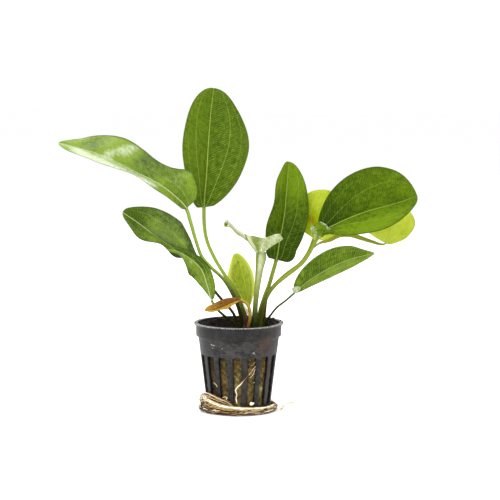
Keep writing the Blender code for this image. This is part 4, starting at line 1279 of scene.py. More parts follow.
@dataclass(frozen=True)
class YoungLeaf:
    """The newest leaf: a broad stalk whose blade is still rolled to the left, with a pale flap on the right.

    stalk and arm are centre lines; stalk_size and arm_size have rows (share, half-width, half-depth).
    web and flap are the parts of the blade that have opened.
    """

    stalk: tuple[Point, ...]
    stalk_size: Rows
    arm: tuple[Point, ...]
    arm_size: Rows
    web: Flap
    flap: Flap
    skin: LeafSkin = PALE_SKIN

    def sheath(self) -> Shape:
        """The stalk: an oval section with a channel down its front that deepens towards the top.

        The front half's depth is scaled by 1 - 0.7 * share * exp(-(cos / 0.6)^2). Its left side is green,
        its channel pale, a painted highlight down it, and its right side tan.

        Returns:
            A closed loft.
        """
        line = np.array(self.stalk)
        knots = along(line)
        share = np.linspace(0, 1, 90)
        place = spline(knots, line, share * knots[-1])
        forward = unit(np.gradient(place, axis=0))
        right = unit(np.cross(np.array((0.0, 1.0, 0.0)), forward))
        back = np.cross(forward, right)
        turn = 2 * np.pi * np.arange(48) / 48
        cos, sin = np.cos(turn), np.sin(turn)
        wide, deep = eased(self.stalk_size, share).T[:, :, None]
        channel = np.where(sin < 0, 0.7 * share[:, None] * np.exp(-((cos / 0.6) ** 2)), 0)
        across = wide * cos + 0.05 * wide * np.sin(5 * turn)
        depth = deep * sin * (1 - channel)
        grid = place[:, None] + across[..., None] * right[:, None] + depth[..., None] * back[:, None]
        # Pale down the channel: a painted highlight
        tone = np.interp(cos, [-1, -0.6, -0.35, 0.15, 0.45, 1], [-0.3, 0.0, 0.9, 0.8, 0.3, 0.1])
        marks = leaf_marks(grid.shape[:2], tone)
        marks["body"][..., 1] = 1 - smoothstep(0.45, 0.85, share)[:, None]
        marks["body"][..., 2] = (0.75 * share)[:, None]
        return grown(grid, line, marks)

    def rolled(self) -> Shape:
        """The rolled blade: a sheet wound once and a third round its centre line.

        The radius grows by a sixth along the winding, so its free margin lies outside. It is painted dark
        along the lower edge and inside the spout's mouth, painted shade, and pale along the ridge and at its
        end, a painted highlight; its end opens like a spout.

        Returns:
            A thin closed sheet.
        """
        line = np.array(self.arm, float)
        knots = along(line)
        at = np.linspace(0, knots[-1], 70)
        place = spline(knots, line, at)
        forward = unit(np.gradient(place, axis=0))
        level = unit(np.cross(forward, np.array((0.0, 0.0, 1.0))))
        upward = np.cross(level, forward)
        tall, deep = eased(self.arm_size, at / knots[-1]).T[:, :, None, None]
        turn = np.linspace(-0.35, 2.3, 44) * np.pi
        grow = (1 + 0.16 * (turn / np.pi + 0.35) / 2.65)[None, :, None]
        cos, sin = np.cos(turn)[None, :, None], np.sin(turn)[None, :, None]
        grid = place[:, None] + grow * (deep * cos * level[:, None] + tall * sin * upward[:, None])
        grid = grid + 0.1 * waviness(grid, 5.0, 8)[..., None] * upward[:, None]
        end = smoothstep(0.8, 1.0, at / knots[-1])[:, None]
        # Painted light: pale along the ridge and at the end, a painted highlight; dark along the lower edge
        # and inside the spout's mouth, painted shade
        pale = 1.15 + 0.75 * np.sin(turn)[None, :] + 0.3 * end
        inside = smoothstep(0.3, -0.2, turn / np.pi)[None, :]
        pale = pale * (1 - inside * end) - 0.4 * inside * end
        marks = leaf_marks(grid.shape[:2], pale)
        marks["skin"][..., 2] = np.clip(-2 * pale, 0, 1)
        return shell(grid, 0.26, marks)

    def build(self) -> None:
        """Makes the leaf in place of its CAD solid."""
        whole = self.sheath().joined(self.rolled()).joined(self.web.shape()).joined(self.flap.shape())
        whole.place("leaf_young_skin", self.skin.make(), "leaf_pale", "leaf_young")


YOUNG = YoungLeaf(
    stalk=(
        (9.3, -5.3, 48.6), (9.6, -5.2, 55.5), (10, -5.5, 63.4), (10.7, -5.9, 71.3), (11.6, -6.3, 79.1),
        (12.6, -6.8, 87), (13.3, -7.2, 92.4), (13.5, -7.6, 96.2),
    ),
    stalk_size=(
        (0, 1.75, 1.5), (0.15, 1.7, 1.4), (0.32, 1.5, 1.3), (0.47, 1.65, 1.3), (0.64, 1.9, 1.35),
        (0.8, 2.4, 1.4), (0.92, 3.1, 1.3), (1, 2.9, 0.8),
    ),
    arm=(
        (8.4, -8.9, 101.6), (6.2, -9.4, 103.3), (3.8, -10.8, 105.4), (1.5, -12.4, 107.1), (-0.9, -14.4, 109),
        (-3.4, -16.6, 111.6), (-5.4, -18.6, 113.4), (-7, -20.1, 114.3),
    ),
    arm_size=(
        (0, 0.6, 0.5), (0.25, 1.1, 0.9), (0.45, 1.2, 1), (0.75, 0.85, 0.8), (0.88, 1.15, 1), (1, 2.1, 1.6),
    ),
    web=Flap(
        points=(
            (
                (3.5, -12, 107.2), (6.2, -10.6, 106.3), (9.2, -9.4, 105.8), (12.4, -8.9, 105),
                (15.7, -8.6, 104.4),
            ),
            (
                (4.9, -11.6, 103.6), (7.2, -11.4, 103.5), (9.8, -9.2, 102.5), (11.9, -8.8, 101.2),
                (14.3, -8.5, 100.2),
            ),
            (
                (7.7, -10.4, 99.4), (9.3, -10.6, 99.7), (10.8, -9.2, 99.3), (12, -8.8, 98.3),
                (13.3, -8.6, 97.2),
            ),
            ((10.6, -9.4, 95.5), (11.2, -9.6, 95.9), (11.8, -9.2, 95.8), (12.4, -9, 95.6), (13, -8.8, 95)),
        ),
        # The first tone, below 0, paints a dark line of shade along the web's edge under the midrib
        tones=(-0.7, 1, 0.8, 0.1, 0, 0, 0.1, 0.3, 0.7), crumple=0.1, seed=7,
    ),
    flap=Flap(
        points=(
            ((15.5, -8.8, 104.5), (18.7, -10, 105.8), (21.6, -11.2, 106.9), (24.2, -12.4, 107.4)),
            ((14.6, -8.6, 100.9), (17.7, -9.8, 102.2), (21.6, -11.4, 103.8), (26.2, -13.2, 104.7)),
            ((13.5, -8.6, 97.2), (16.3, -9.6, 98.5), (19.8, -11, 100.8), (24.7, -12.6, 103)),
            ((13.1, -8.4, 94.6), (14.6, -8.8, 95.4), (16.7, -9.6, 97.3), (18.9, -10.6, 99.4)),
        ),
        tones=(0.6, 0.45, 0.75, 0.6), crumple=0.5, seed=3,
    ),
)


# ---------------------------------------------------------------- the pot


@dataclass(frozen=True)
class NetPot:
    """The slotted pot: a thin conical wall with 16 tall slots, a deep plain collar and a rounded lip.

    All sizes are in millimetres, and azimuths in degrees from +X.
    """

    height: float = 53.0
    lip_radius: float = 27.0
    lip_depth: float = 1.1
    lip_inner: float = 24.7
    collar_radius: float = 25.9
    collar_depth: float = 8.2
    wall_top: float = 24.4
    foot_radius: float = 18.9
    foot_flats: float = 18.3
    wall: float = 1.2
    floor: float = 1.6
    slots: int = 16
    front_slot: float = 268.0
    slot_low: float = 4.5
    slot_high: float = 34.4
    corner: float = 0.8
    rib: tuple[float, float] = (2.7, 3.5)
    floor_slot: tuple[float, float, float] = (2.4, 8.0, 14.5)
    slot_steps: int = 6
    rib_steps: int = 6

    @property
    def shoulder(self) -> float:
        """The height at which the wall ends and the collar begins."""
        return self.height - self.collar_depth

    def radius(self, level: Array) -> Array:
        """The wall's outer radius at a height: foot + (top - foot) * height / the wall's height."""
        return self.foot_radius + (self.wall_top - self.foot_radius) * level / self.shoulder

    def half_slot(self, level: Array) -> Array:
        """Half a slot's width at a height, narrowed by a quarter circle at its rounded corners.

        It is half the pitch less half a rib, less corner * (1 - sqrt(1 - d^2)), where d is how far
        the height has gone into the corner as a share of its radius.

        Args:
            level: heights in millimetres.

        Returns:
            Half-widths in millimetres.
        """
        rib = np.interp(level, [self.slot_low, self.slot_high], self.rib)
        full = np.pi / self.slots * self.radius(level) - rib / 2
        low = (self.slot_low + self.corner - level) / self.corner
        high = (level - self.slot_high + self.corner) / self.corner
        into = np.clip(np.maximum(low, high), 0, 1)
        into = np.where((level < self.slot_low - 0.01) | (level > self.slot_high + 0.01), 0, into)
        return full - self.corner * (1 - np.sqrt(1 - into**2))

    def profile(self) -> tuple[Array, Array, Array]:
        """The closed outline from the underside's middle, up the outside, over the lip and down inside.

        Returns:
            The radius and height of each row, and its part: 0 floor, 1 outer wall, 2 rim, 3 inner
            wall, 4 inside of the floor.
        """
        shoulder = self.shoulder
        quarter = np.linspace(0, np.pi / 2, 5)
        bend = self.corner * (1 - np.cos(quarter))
        levels = np.concatenate(
            [
                [1.15, 2.2, 3.4],
                self.slot_low + self.corner * (1 - np.sin(quarter[::-1])),
                np.linspace(self.slot_low + self.corner, self.slot_high - self.corner, 16)[1:-1],
                self.slot_high - bend[::-1],
                np.linspace(self.slot_high, shoulder - 0.7, 7)[1:],
            ]
        )
        _, reach_low, reach_high = self.floor_slot
        ground = [0.7, 4.0, reach_low, *np.linspace(reach_low, reach_high, 5)[1:], 16.4, self.foot_flats]
        collar, lip, inner, top = self.collar_radius, self.lip_radius, self.lip_inner, self.height
        under = top - self.lip_depth
        # Each bend of the rim: the radius and height it turns about, and steps out and up from there
        bends = (
            (self.radius(shoulder), shoulder, ((0.08, -0.35), (0.35, -0.05))),
            (collar, shoulder, ((-0.62, 0.12), (-0.3, 0.3), (-0.16, 0.65), (-0.1, 3.0))),
            (collar, top, ((-0.03, -2.4),)),
            (collar, under, ((0.0, -0.5), (0.12, -0.22), (0.4, -0.12))),
            (lip, under, ((-0.28, -0.02), (-0.08, 0.14), (0.0, 0.38))),
            (lip, top, ((0.0, -0.34), (-0.09, -0.11), (-0.34, 0.0))),
            (inner, top, ((0.34, 0.0), (0.09, -0.1), (0.0, -0.34), (0.0, -3.0))),
            (inner, shoulder, ((0.0, 1.2),)),
        )
        inside = levels[::-1]
        rows = [
            *[(reach, 0.0, 0) for reach in ground],
            *[(self.radius(level), level, 1) for level in levels],
            *[(reach + out, level + up, 2) for reach, level, steps in bends for out, up in steps],
            *[(self.radius(level) - self.wall, level, 3) for level in inside[inside > self.floor + 0.3]],
            *[(reach, self.floor, 4) for reach in ground[-2::-1]],
        ]
        return tuple(np.array(rows).T)

    def azimuths(self, reach: Array, level: Array, part: Array) -> Array:
        """The azimuth of every column in every row, so that some columns follow the slots' edges.

        Args:
            reach: each row's radius.
            level: each row's height.
            part: each row's part.

        Returns:
            Rows by columns, in radians.
        """
        pitch = 2 * np.pi / self.slots
        width, reach_low, reach_high = self.floor_slot
        held = np.clip(level, self.slot_low - 1, self.slot_high + 1)
        half = self.half_slot(held) / self.radius(held)
        on_floor = (part == 0) | (part == 4)
        across = np.arcsin(width / 2 / np.clip(reach, reach_low, reach_high))
        half = np.where(on_floor & (reach < reach_high + 1), across, half)
        slot = np.linspace(-1, 1, self.slot_steps + 1)[None, :-1] * half[:, None]
        rib = half[:, None] + np.linspace(0, 1, self.rib_steps, endpoint=False) * (pitch - 2 * half[:, None])
        period = np.concatenate([slot, rib], 1)
        starts = np.radians(self.front_slot) + pitch * np.arange(self.slots)
        return (starts[None, :, None] + period[:, None, :]).reshape(len(reach), -1)

    def shape(self) -> Shape:
        """The pot as one closed mesh: a turned grid without its slot cells, their edges joined by jambs.

        Returns:
            The pot, with the mark "wear".
        """
        reach, level, part = self.profile()
        turn = self.azimuths(reach, level, part)
        rows, columns = turn.shape
        away = np.broadcast_to(reach[:, None], turn.shape).copy()
        height = np.broadcast_to(level[:, None], turn.shape).copy()
        edge = int(np.flatnonzero(part == 0)[-1])
        side = 2 * np.pi / self.slots
        corner = np.cos(side / 2) / np.cos(np.mod(turn[edge], side) - side / 2)
        away[edge] = self.foot_flats * corner
        # The foot's flats lean out by 45 degrees until they meet the wall, which widens by 0.123 mm a mm
        meets = (self.foot_radius - self.foot_flats * corner) / (corner - 0.123)
        height[edge + 1] = np.clip(meets, 0, 1.12)
        away[edge + 1] = self.radius(height[edge + 1])
        points = np.stack([away * np.cos(turn), away * np.sin(turn), height], -1).reshape(-1, 3)

        index = np.arange(rows * columns).reshape(rows, columns)
        quads = net(rows, columns, closed=True).reshape(rows - 1, columns, 4)
        steps = self.slot_steps
        period = steps + self.rib_steps
        in_slot = np.arange(columns) % period < steps
        odd = (np.arange(columns) // period) % 2 == 1
        near = 0.011

        def rows_between(kind: int, values: Array, low: float, high: float) -> Array:
            """The rows of one part whose value lies between two limits, in order along the profile."""
            return np.flatnonzero((part == kind) & (values > low - near) & (values < high + near))

        outer = rows_between(1, level, self.slot_low, self.slot_high)
        inner = rows_between(3, level, self.slot_low, self.slot_high)[::-1]
        _, reach_low, reach_high = self.floor_slot
        under = rows_between(0, reach, reach_low, reach_high)
        above = rows_between(4, reach, reach_low, reach_high)[::-1]
        keep = np.ones((rows - 1, columns), bool)
        jambs = []
        for front, back, where in ((outer, inner, in_slot), (under, above, in_slot & odd)):
            keep[np.ix_(front[:-1], where)] = False
            keep[np.ix_(back[1:], where)] = False
            starts = np.flatnonzero(where & ~np.roll(where, 1))
            for column, flip in ((starts, False), ((starts + steps) % columns, True)):
                a, b = index[front[:-1]][:, column], index[front[1:]][:, column]
                c, d = index[back[1:]][:, column], index[back[:-1]][:, column]
                jambs.append(np.stack([a, b, c, d][:: -1 if flip else 1], -1).reshape(-1, 4))
            cells = np.flatnonzero(where)
            for row_front, row_back, flip in ((front[0], back[0], True), (front[-1], back[-1], False)):
                a, b = index[row_front, cells], index[row_front, (cells + 1) % columns]
                c, d = index[row_back, (cells + 1) % columns], index[row_back, cells]
                jambs.append(np.stack([a, b, c, d][:: -1 if flip else 1], -1).reshape(-1, 4))
        ends = np.array([(0.0, 0.0, 0.0), (0.0, 0.0, self.floor)])
        faces = [
            quads[keep],
            np.concatenate(jambs)[:, ::-1],
            fan(index[0], len(points))[:, ::-1],
            fan(index[-1], len(points) + 1),
        ]
        return Shape(np.concatenate([points, ends]), faces, self.wear_and_painted_light(points, part.repeat(columns), ends))

    def wear_and_painted_light(self, points: Array, part: Array, ends: Array) -> dict[str, Array]:
        """Where the plastic is worn, stained and dusty.

        The lip's outer edge gets a pale line, a painted highlight. The wall below the collar has a patch of
        peat stain at the front. Dust lies on the outside, less on the ribs and more to the right; it is
        thinner on the collar and absent inside, painted shade that keeps the collar and the pot's inside
        dark.

        Args:
            points: the mesh's points.
            part: the part that each belongs to.
            ends: the points of its two poles.

        Returns:
            The mark "wear".
        """
        away = np.hypot(points[:, 0], points[:, 1])
        # A pale line along the lip's outer edge: a painted highlight
        lip = smoothstep(self.lip_radius - 0.2, self.lip_radius - 0.05, away)
        lip = lip * smoothstep(self.height - 0.7, self.height - 0.3, points[:, 2])
        stain = 1.1 * np.exp(-(((points - (16.0, -18.0, 42.0)) / (5.0, 6.0, 5.5)) ** 2).sum(1))
        collar = smoothstep(self.shoulder - 0.6, self.shoulder + 0.4, points[:, 2])
        inside = (part >= 3) | ((away < self.lip_inner + 0.2) & (points[:, 2] > self.shoulder))
        ribs = smoothstep(-self.slot_high, 2 - self.slot_high, -points[:, 2])
        side = 0.9 * smoothstep(8, 21, points[:, 0]) - 0.25 * smoothstep(6, 20, -points[:, 0])
        # Less dust on the collar and none inside: painted shade on the collar and in the pot's mouth
        dust = np.where(inside, 0.0, (1.0 + side) * (1.0 - 0.6 * collar - 0.35 * ribs))
        values = np.stack([lip, stain, dust], 1)
        return {"wear_and_painted_light": np.concatenate([values, np.tile([[0.0, 0.0, 0.5]], (len(ends), 1))])}

    def build(self) -> None:
        """Makes the pot in place of its CAD solid."""
        self.shape().place("pot_shell", Plastic().make(), "pot_plastic", "pot")


# ---------------------------------------------------------------- what fills the pot


@dataclass(frozen=True)
class RootingPlug:
    """The block of fibrous rockwool that the plant was raised in; it swells a little into the slots."""

    pot: NetPot = NetPot()
    low: float = 1.95
    high: float = 38.9
    gap: float = 0.4
    fibres: int = 1500
    slot_shade: Row = (0.9, 0.8, 0.9, 0.45, 0.5, 0.7, 0.9, 0.6, 0.8, 1, 0.7, 0.85, 0.6, 0.4, 0.35, 0.65)

    def surface(self, turn: Array, level: Array) -> Array:
        """The distance from the axis: the wall's inside less a gap, plus lumps, plus a swelling.

        The swelling is 0.35 mm in the middle of each slot and falls off smoothly to its edges.

        Args:
            turn: azimuths in radians.
            level: heights.

        Returns:
            Distances in millimetres.
        """
        pot = self.pot
        base = pot.radius(level) - pot.wall - self.gap
        phase = np.cos(pot.slots * (turn - np.radians(pot.front_slot)))
        inside = smoothstep(pot.slot_low, pot.slot_low + 2, level) * smoothstep(0, 2, pot.slot_high - level)
        swell = 0.35 * smoothstep(0.25, 1, phase) * inside
        place = np.stack([base * np.cos(turn), base * np.sin(turn), level], -1)
        lumps = 0.3 * waviness(place, 4.0, 21) + 0.14 * waviness(place, 1.2, 22)
        return base - 0.25 + swell + np.minimum(lumps, 0.25)

    def shade(self, turn: Array) -> Array:
        """How pale the wool is in the slot at an azimuth: dark and peaty to the sides, palest in front.

        Within a slot it is darker along both edges, most along the left one: painted shadow of the slot's
        jambs.

        Args:
            turn: azimuths in radians.

        Returns:
            A factor from 0 to 1.
        """
        degrees = np.mod(np.degrees(turn) - self.pot.front_slot, 360)
        number = np.rint(degrees / (360 / self.pot.slots)).astype(int) % self.pot.slots
        slot = np.array(self.slot_shade)[number]
        round_slot = self.pot.slots * (turn - np.radians(self.pot.front_slot))
        # Darker along the slot's edges, most on the left: painted jamb shadow
        return slot * (0.3 + 0.7 * smoothstep(-0.65, 0.3, np.cos(round_slot) + 0.25 * np.sin(round_slot)))

    def block(self) -> Shape:
        """The plug's body as a closed grid; its tone is noise times the slot's shade, with painted shade near
        the top.

        Returns:
            The body, with the mark "strand".
        """
        turn = 2 * np.pi * np.arange(320) / 320
        level = np.linspace(self.low, self.high, 76)
        turns, levels = np.meshgrid(turn, level)
        away = self.surface(turns, levels)
        wall = np.stack([away * np.cos(turns), away * np.sin(turns), levels], -1)
        tone = (0.62 + 0.3 * waviness(wall, 2.6, 23) + 0.25 * waviness(wall, 7.0, 24)) * self.shade(turns)
        # Painted shade below the tops of the slots
        tone *= 0.7 + 0.4 * smoothstep(-33, -16, -levels)
        points, faces = capped(wall, np.array([(0, 0, self.low), (0, 0, self.high)]))
        return Shape(points, faces, toned(np.concatenate([tone.ravel(), [0.5, 0.5]])))

    def threads(self) -> Shape:
        """Fibres that lie on the block where the slots show it, each bent into a shallow arc.

        Returns:
            All the fibres.
        """
        picker = np.random.default_rng(31)
        pitch = 2 * np.pi / self.pot.slots
        share = np.linspace(-0.5, 0.5, 7)
        slot = picker.integers(0, self.pot.slots, self.fibres)
        centre = np.radians(self.pot.front_slot) + pitch * (slot + picker.uniform(-0.32, 0.32, self.fibres))
        level = picker.uniform(self.pot.slot_low + 0.5, self.pot.slot_high - 0.5, self.fibres)
        heading = picker.uniform(0, np.pi, self.fibres)
        length = picker.uniform(1.2, 4.5, self.fibres)
        bow = picker.uniform(-0.5, 0.5, self.fibres)[:, None] * (0.25 - share**2) * 2
        step_x = length[:, None] * (share * np.cos(heading)[:, None] - bow * np.sin(heading)[:, None])
        step_z = length[:, None] * (share * np.sin(heading)[:, None] + bow * np.cos(heading)[:, None])
        # Millimetres sideways become radians at 20 mm from the axis
        turns = centre[:, None] + step_x / 20
        turns = np.clip(turns, (centre - 0.3 * pitch)[:, None], (centre + 0.3 * pitch)[:, None])
        levels = np.clip(level[:, None] + step_z, self.low + 0.5, self.high - 0.5)
        away = self.surface(turns, levels) + 0.05 + 0.1 * picker.uniform(0, 1, self.fibres)[:, None]
        away = np.minimum(away, self.pot.radius(levels) - 0.15)
        paths = np.stack([away * np.cos(turns), away * np.sin(turns), levels], -1)
        radii = np.full((self.fibres, 7), 1.0) * picker.uniform(0.05, 0.11, self.fibres)[:, None]
        tones = picker.choice([0.1, 0.5, 0.7, 1.0], self.fibres, p=[0.3, 0.35, 0.27, 0.08])
        # The fibres take the slot's shade too, with its painted jamb shadow
        return strands(paths, radii, 3, tones * self.shade(turns[:, 3]), (0.31, 0.22, 0.92))

    def build(self) -> None:
        """Makes the plug in place of its CAD solid."""
        # Rockwool steeped in the nursery's water: ochre with olive algae, dark in its gaps; its darkest
        # shades also carry the painted shade at the slots' edges and tops
        shades = ("#17120a", "#3d3219", "#6a5c30", "#857748", "#a3965e")
        wool = Loose("rockwool_fibre", shades, 2.2, relief=0.5, stain="#5a3a14", stained=0.6)
        self.block().joined(self.threads()).place("rooting_plug", wool.make(), "rockwool", "growing_medium")


@dataclass(frozen=True)
class GravelLayer:
    """The dark gravel and peat over the plug: an uneven bed with loose stones, and crumbs on the lip."""

    low: float = 39.35
    shoulder: float = 44.3
    edge: float = 46.0
    top: float = 47.0
    rim: float = 23.8
    brim: float = 24.45
    bank: float = 6.2
    stones: int = 950
    crumbs: Rows = (
        (20.9, 13.4, 53.3, 0.75), (21.8, 12, 53.2, 0.5), (19.6, 15.4, 53.1, 0.5), (18.6, 16.8, 53.2, 0.4),
        (25.3, 5.6, 53.2, 0.5), (24.6, 7.6, 53.2, 0.35), (26.4, -1.6, 53.1, 0.45), (-25.8, -3.8, 53.2, 0.3),
        (-24.2, 9.2, 53.1, 0.3),
    )

    def level(self, x: Array, y: Array) -> Array:
        """The bed's height: it rises towards the crown and banks up against the wall, with lumps.

        Args:
            x: to the right, in millimetres.
            y: away from the viewer, in millimetres.

        Returns:
            The height at each place.
        """
        away = np.hypot(x, y)
        heap = self.edge + (self.top - self.edge) * (1 - (away / self.rim) ** 2)
        heap = heap + self.bank * smoothstep(17.0, 23.2, away)
        near = np.exp(-(((x - 6.3) ** 2 + y**2) / 60))
        place = np.stack([x, y, 0 * x], -1)
        return heap - 0.4 + 0.9 * near + 0.35 * waviness(place, 6, 41) + 0.12 * waviness(place, 1.8, 42)

    def bed(self) -> Shape:
        """The bed as a closed grid of rings, from its underside out to the wall and over the top.

        Returns:
            The bed, with the mark "strand".
        """
        turn = 2 * np.pi * np.arange(160) / 160
        rings = [
            (self.low, 0.55), (self.low, 21.9), (self.shoulder, 22.6), (self.edge - 0.6, self.rim),
            (self.edge + 0.5, self.brim),
        ]
        reach = np.linspace(self.brim, 0.5, 34)
        aways = np.concatenate([[ring[1] for ring in rings], reach])[:, None]
        x, y = aways * np.cos(turn), aways * np.sin(turn)
        z = np.broadcast_to(np.array([ring[0] for ring in rings])[:, None], (len(rings), len(turn)))
        z = np.concatenate([z, self.level(x[len(rings) :], y[len(rings) :])])
        middle = self.level(np.zeros(1), np.zeros(1))[0]
        points, faces = capped(np.stack([x, y, z], -1), np.array([(0, 0, self.low), (0, 0, middle)]))
        return Shape(points, faces, toned(0.3 + 0.3 * waviness(points, 2.5, 43)))

    def grit(self) -> Shape:
        """The loose stones, spread evenly over the disc with a few bigger ones, and the crumbs on the lip.

        Returns:
            All of them as one shape.
        """
        picker = np.random.default_rng(44)
        away = (self.brim - 0.75) * np.sqrt(picker.uniform(0, 1, self.stones))
        turn = picker.uniform(0, 2 * np.pi, self.stones)
        size = picker.uniform(0.3, 0.65, self.stones) + 0.5 * picker.uniform(0, 1, self.stones) ** 6
        x, y = away * np.cos(turn), away * np.sin(turn)
        centres = np.stack([x, y, self.level(x, y) + 0.25 * size], 1)
        lip = np.array(self.crumbs)
        return pebbles(np.concatenate([centres, lip[:, :3]]), np.concatenate([size, lip[:, 3]]), 45)

    def build(self) -> None:
        """Makes the layer in place of its CAD solid."""
        # Wet lava grit and black peat: almost black, with a few brown and grey grains
        grit = Loose("lava_grit", ("#030302", "#0b0906", "#1a140c", "#4a3c28"), 1.3, sway=0.35)
        self.bed().joined(self.grit()).place("gravel_bed", grit.make(), "gravel", "substrate")


@dataclass(frozen=True)
class Crown:
    """The short root stock that the leaves grow from, wrapped in the brown bases of old leaves."""

    centre: tuple[float, float] = (6.3, 0.0)
    rings: Rows = ((46.5, 4.2), (48.0, 4.0), (50.0, 3.7), (52.5, 3.0), (55.0, 2.0), (57.0, 1.1))

    def stock(self) -> Shape:
        """The stock itself: rings whose radius varies by 8% in three lobes and by 5% in seven.

        Returns:
            The stock, closed.
        """
        level = np.linspace(self.rings[0][0], self.rings[-1][0], 26)
        turn = 2 * np.pi * np.arange(64) / 64
        radius = eased(self.rings, level) * (1 + 0.08 * np.sin(3 * turn) + 0.05 * np.sin(7 * turn + 1))
        x = self.centre[0] + radius * np.cos(turn)
        y = self.centre[1] + radius * np.sin(turn)
        grid = np.stack([x, y, np.broadcast_to(level[:, None], x.shape)], -1)
        points, faces = capped(grid, grid[[0, -1]].mean(1))
        return Shape(points, faces, toned(0.35 + 0.3 * waviness(points, 3.0, 51)))

    def scale(self, azimuth: float, lean: float, height: float, width: float, tone: float) -> Shape:
        """One pointed sheath, curved about its stalk.

        Its half-width falls from base to tip as width * (1 - share^1.6), and it leans outwards as the
        square of the share.

        Args:
            azimuth: where it stands round the stock, in degrees.
            lean: how far its tip leans out, in millimetres.
            height: its length.
            width: its half-width at the base.
            tone: its tone.

        Returns:
            A thin closed sheet.
        """
        share = np.linspace(0, 1, 20)[:, None]
        across = np.linspace(-1, 1, 15)[None, :]
        half = width * (1 - share**1.6) + 0.05
        out = np.radians(azimuth)
        reach = 3.4 - 1.2 * share + lean * share**2 - 0.45 * half * across**2
        side = half * across
        x = self.centre[0] + reach * np.cos(out) - side * np.sin(out)
        y = self.centre[1] + reach * np.sin(out) + side * np.cos(out)
        z = np.broadcast_to(47.0 + height * share, x.shape)
        grid = np.stack([x, y, z], -1)
        tones = tone + 0.25 * share + 0 * across + 0.15 * waviness(grid, 2.0, int(azimuth))
        return shell(grid[:, ::-1], 0.35, toned(tones))

    def build(self) -> None:
        """Makes the stock and its sheaths in place of the CAD solid."""
        whole = self.stock()
        for sheath in (
            (200, 1.4, 9.5, 2.2, 0.35), (232, 1.2, 9.0, 2.4, 0.2), (255, 1.2, 10.0, 2.3, 0.35),
            (281, 1.5, 7.5, 2.6, 0.0), (325, 1.6, 8.5, 2.0, 0.4), (20, 1.5, 9.0, 2.3, 0.3),
            (75, 1.2, 8.0, 2.4, 0.2), (130, 1.3, 9.5, 2.4, 0.35),
        ):
            whole = whole.joined(self.scale(*sheath))
        # The bases of old leaves: leathery, wine brown, paler at their dry tips
        shades = ("#1c0b1b", "#2e150f", "#4f2b19", "#8f683a")
        bark = Loose("old_leaf_base", shades, 1.6, roughness=0.55, damp=0.15)
        whole.place("crown_stock", bark.make(), "crown_skin", "crown")


@dataclass(frozen=True)
class DrySheath:
    """The cream strip of dry sheath that clings to a stalk's foot, curled along its length."""

    path: tuple[Point, ...] = ((7.6, -3.2, 55.8), (5.6, -3.5, 59.0), (3.4, -3.6, 63.0), (1.6, -3.8, 66.8))
    width: float = 0.8

    def build(self) -> None:
        """Makes the strip: a trough along the path whose half-width falls as the square root to its tip."""
        line = np.array(self.path)
        knots = along(line)
        place = spline(knots, line, np.linspace(0, knots[-1], 40))
        forward = unit(np.gradient(place, axis=0))
        level = unit(np.cross(forward, np.array((0.0, -1.0, 0.2))))
        upward = np.cross(level, forward)
        share = np.linspace(0, 1, 40)[:, None]
        across = np.linspace(-1, 1, 13)[None, :]
        half = self.width * (0.75 + 0.5 * np.sin(5 * share)) * np.sqrt(1.02 - share)
        bow = 0.55 * half * across**2 + 0.12 * np.sin(17 * share + 2 * across)
        grid = place[:, None] + (half * across)[..., None] * level[:, None] + bow[..., None] * upward[:, None]
        mark = np.stack(np.broadcast_arrays(across * 0.5 + 0.5, share, 0 * share), -1)
        strip = shell(grid, 0.22, {"strand": mark})
        strip.place("dry_sheath_strip", Paper().make(), "dry_sheath_skin", "dry_sheath")


# ---------------------------------------------------------------- roots


def polar(route: Rows | Array) -> Array:
    """Points in millimetres from rows of azimuth in degrees, distance from the axis and height.

    Args:
        route: the rows, in the last axis.

    Returns:
        The points: (reach cos azimuth, reach sin azimuth, height).
    """
    azimuth, reach, height = np.moveaxis(np.asarray(route, float), -1, 0)
    turn = np.radians(azimuth)
    return np.stack([reach * np.cos(turn), reach * np.sin(turn), height], -1)


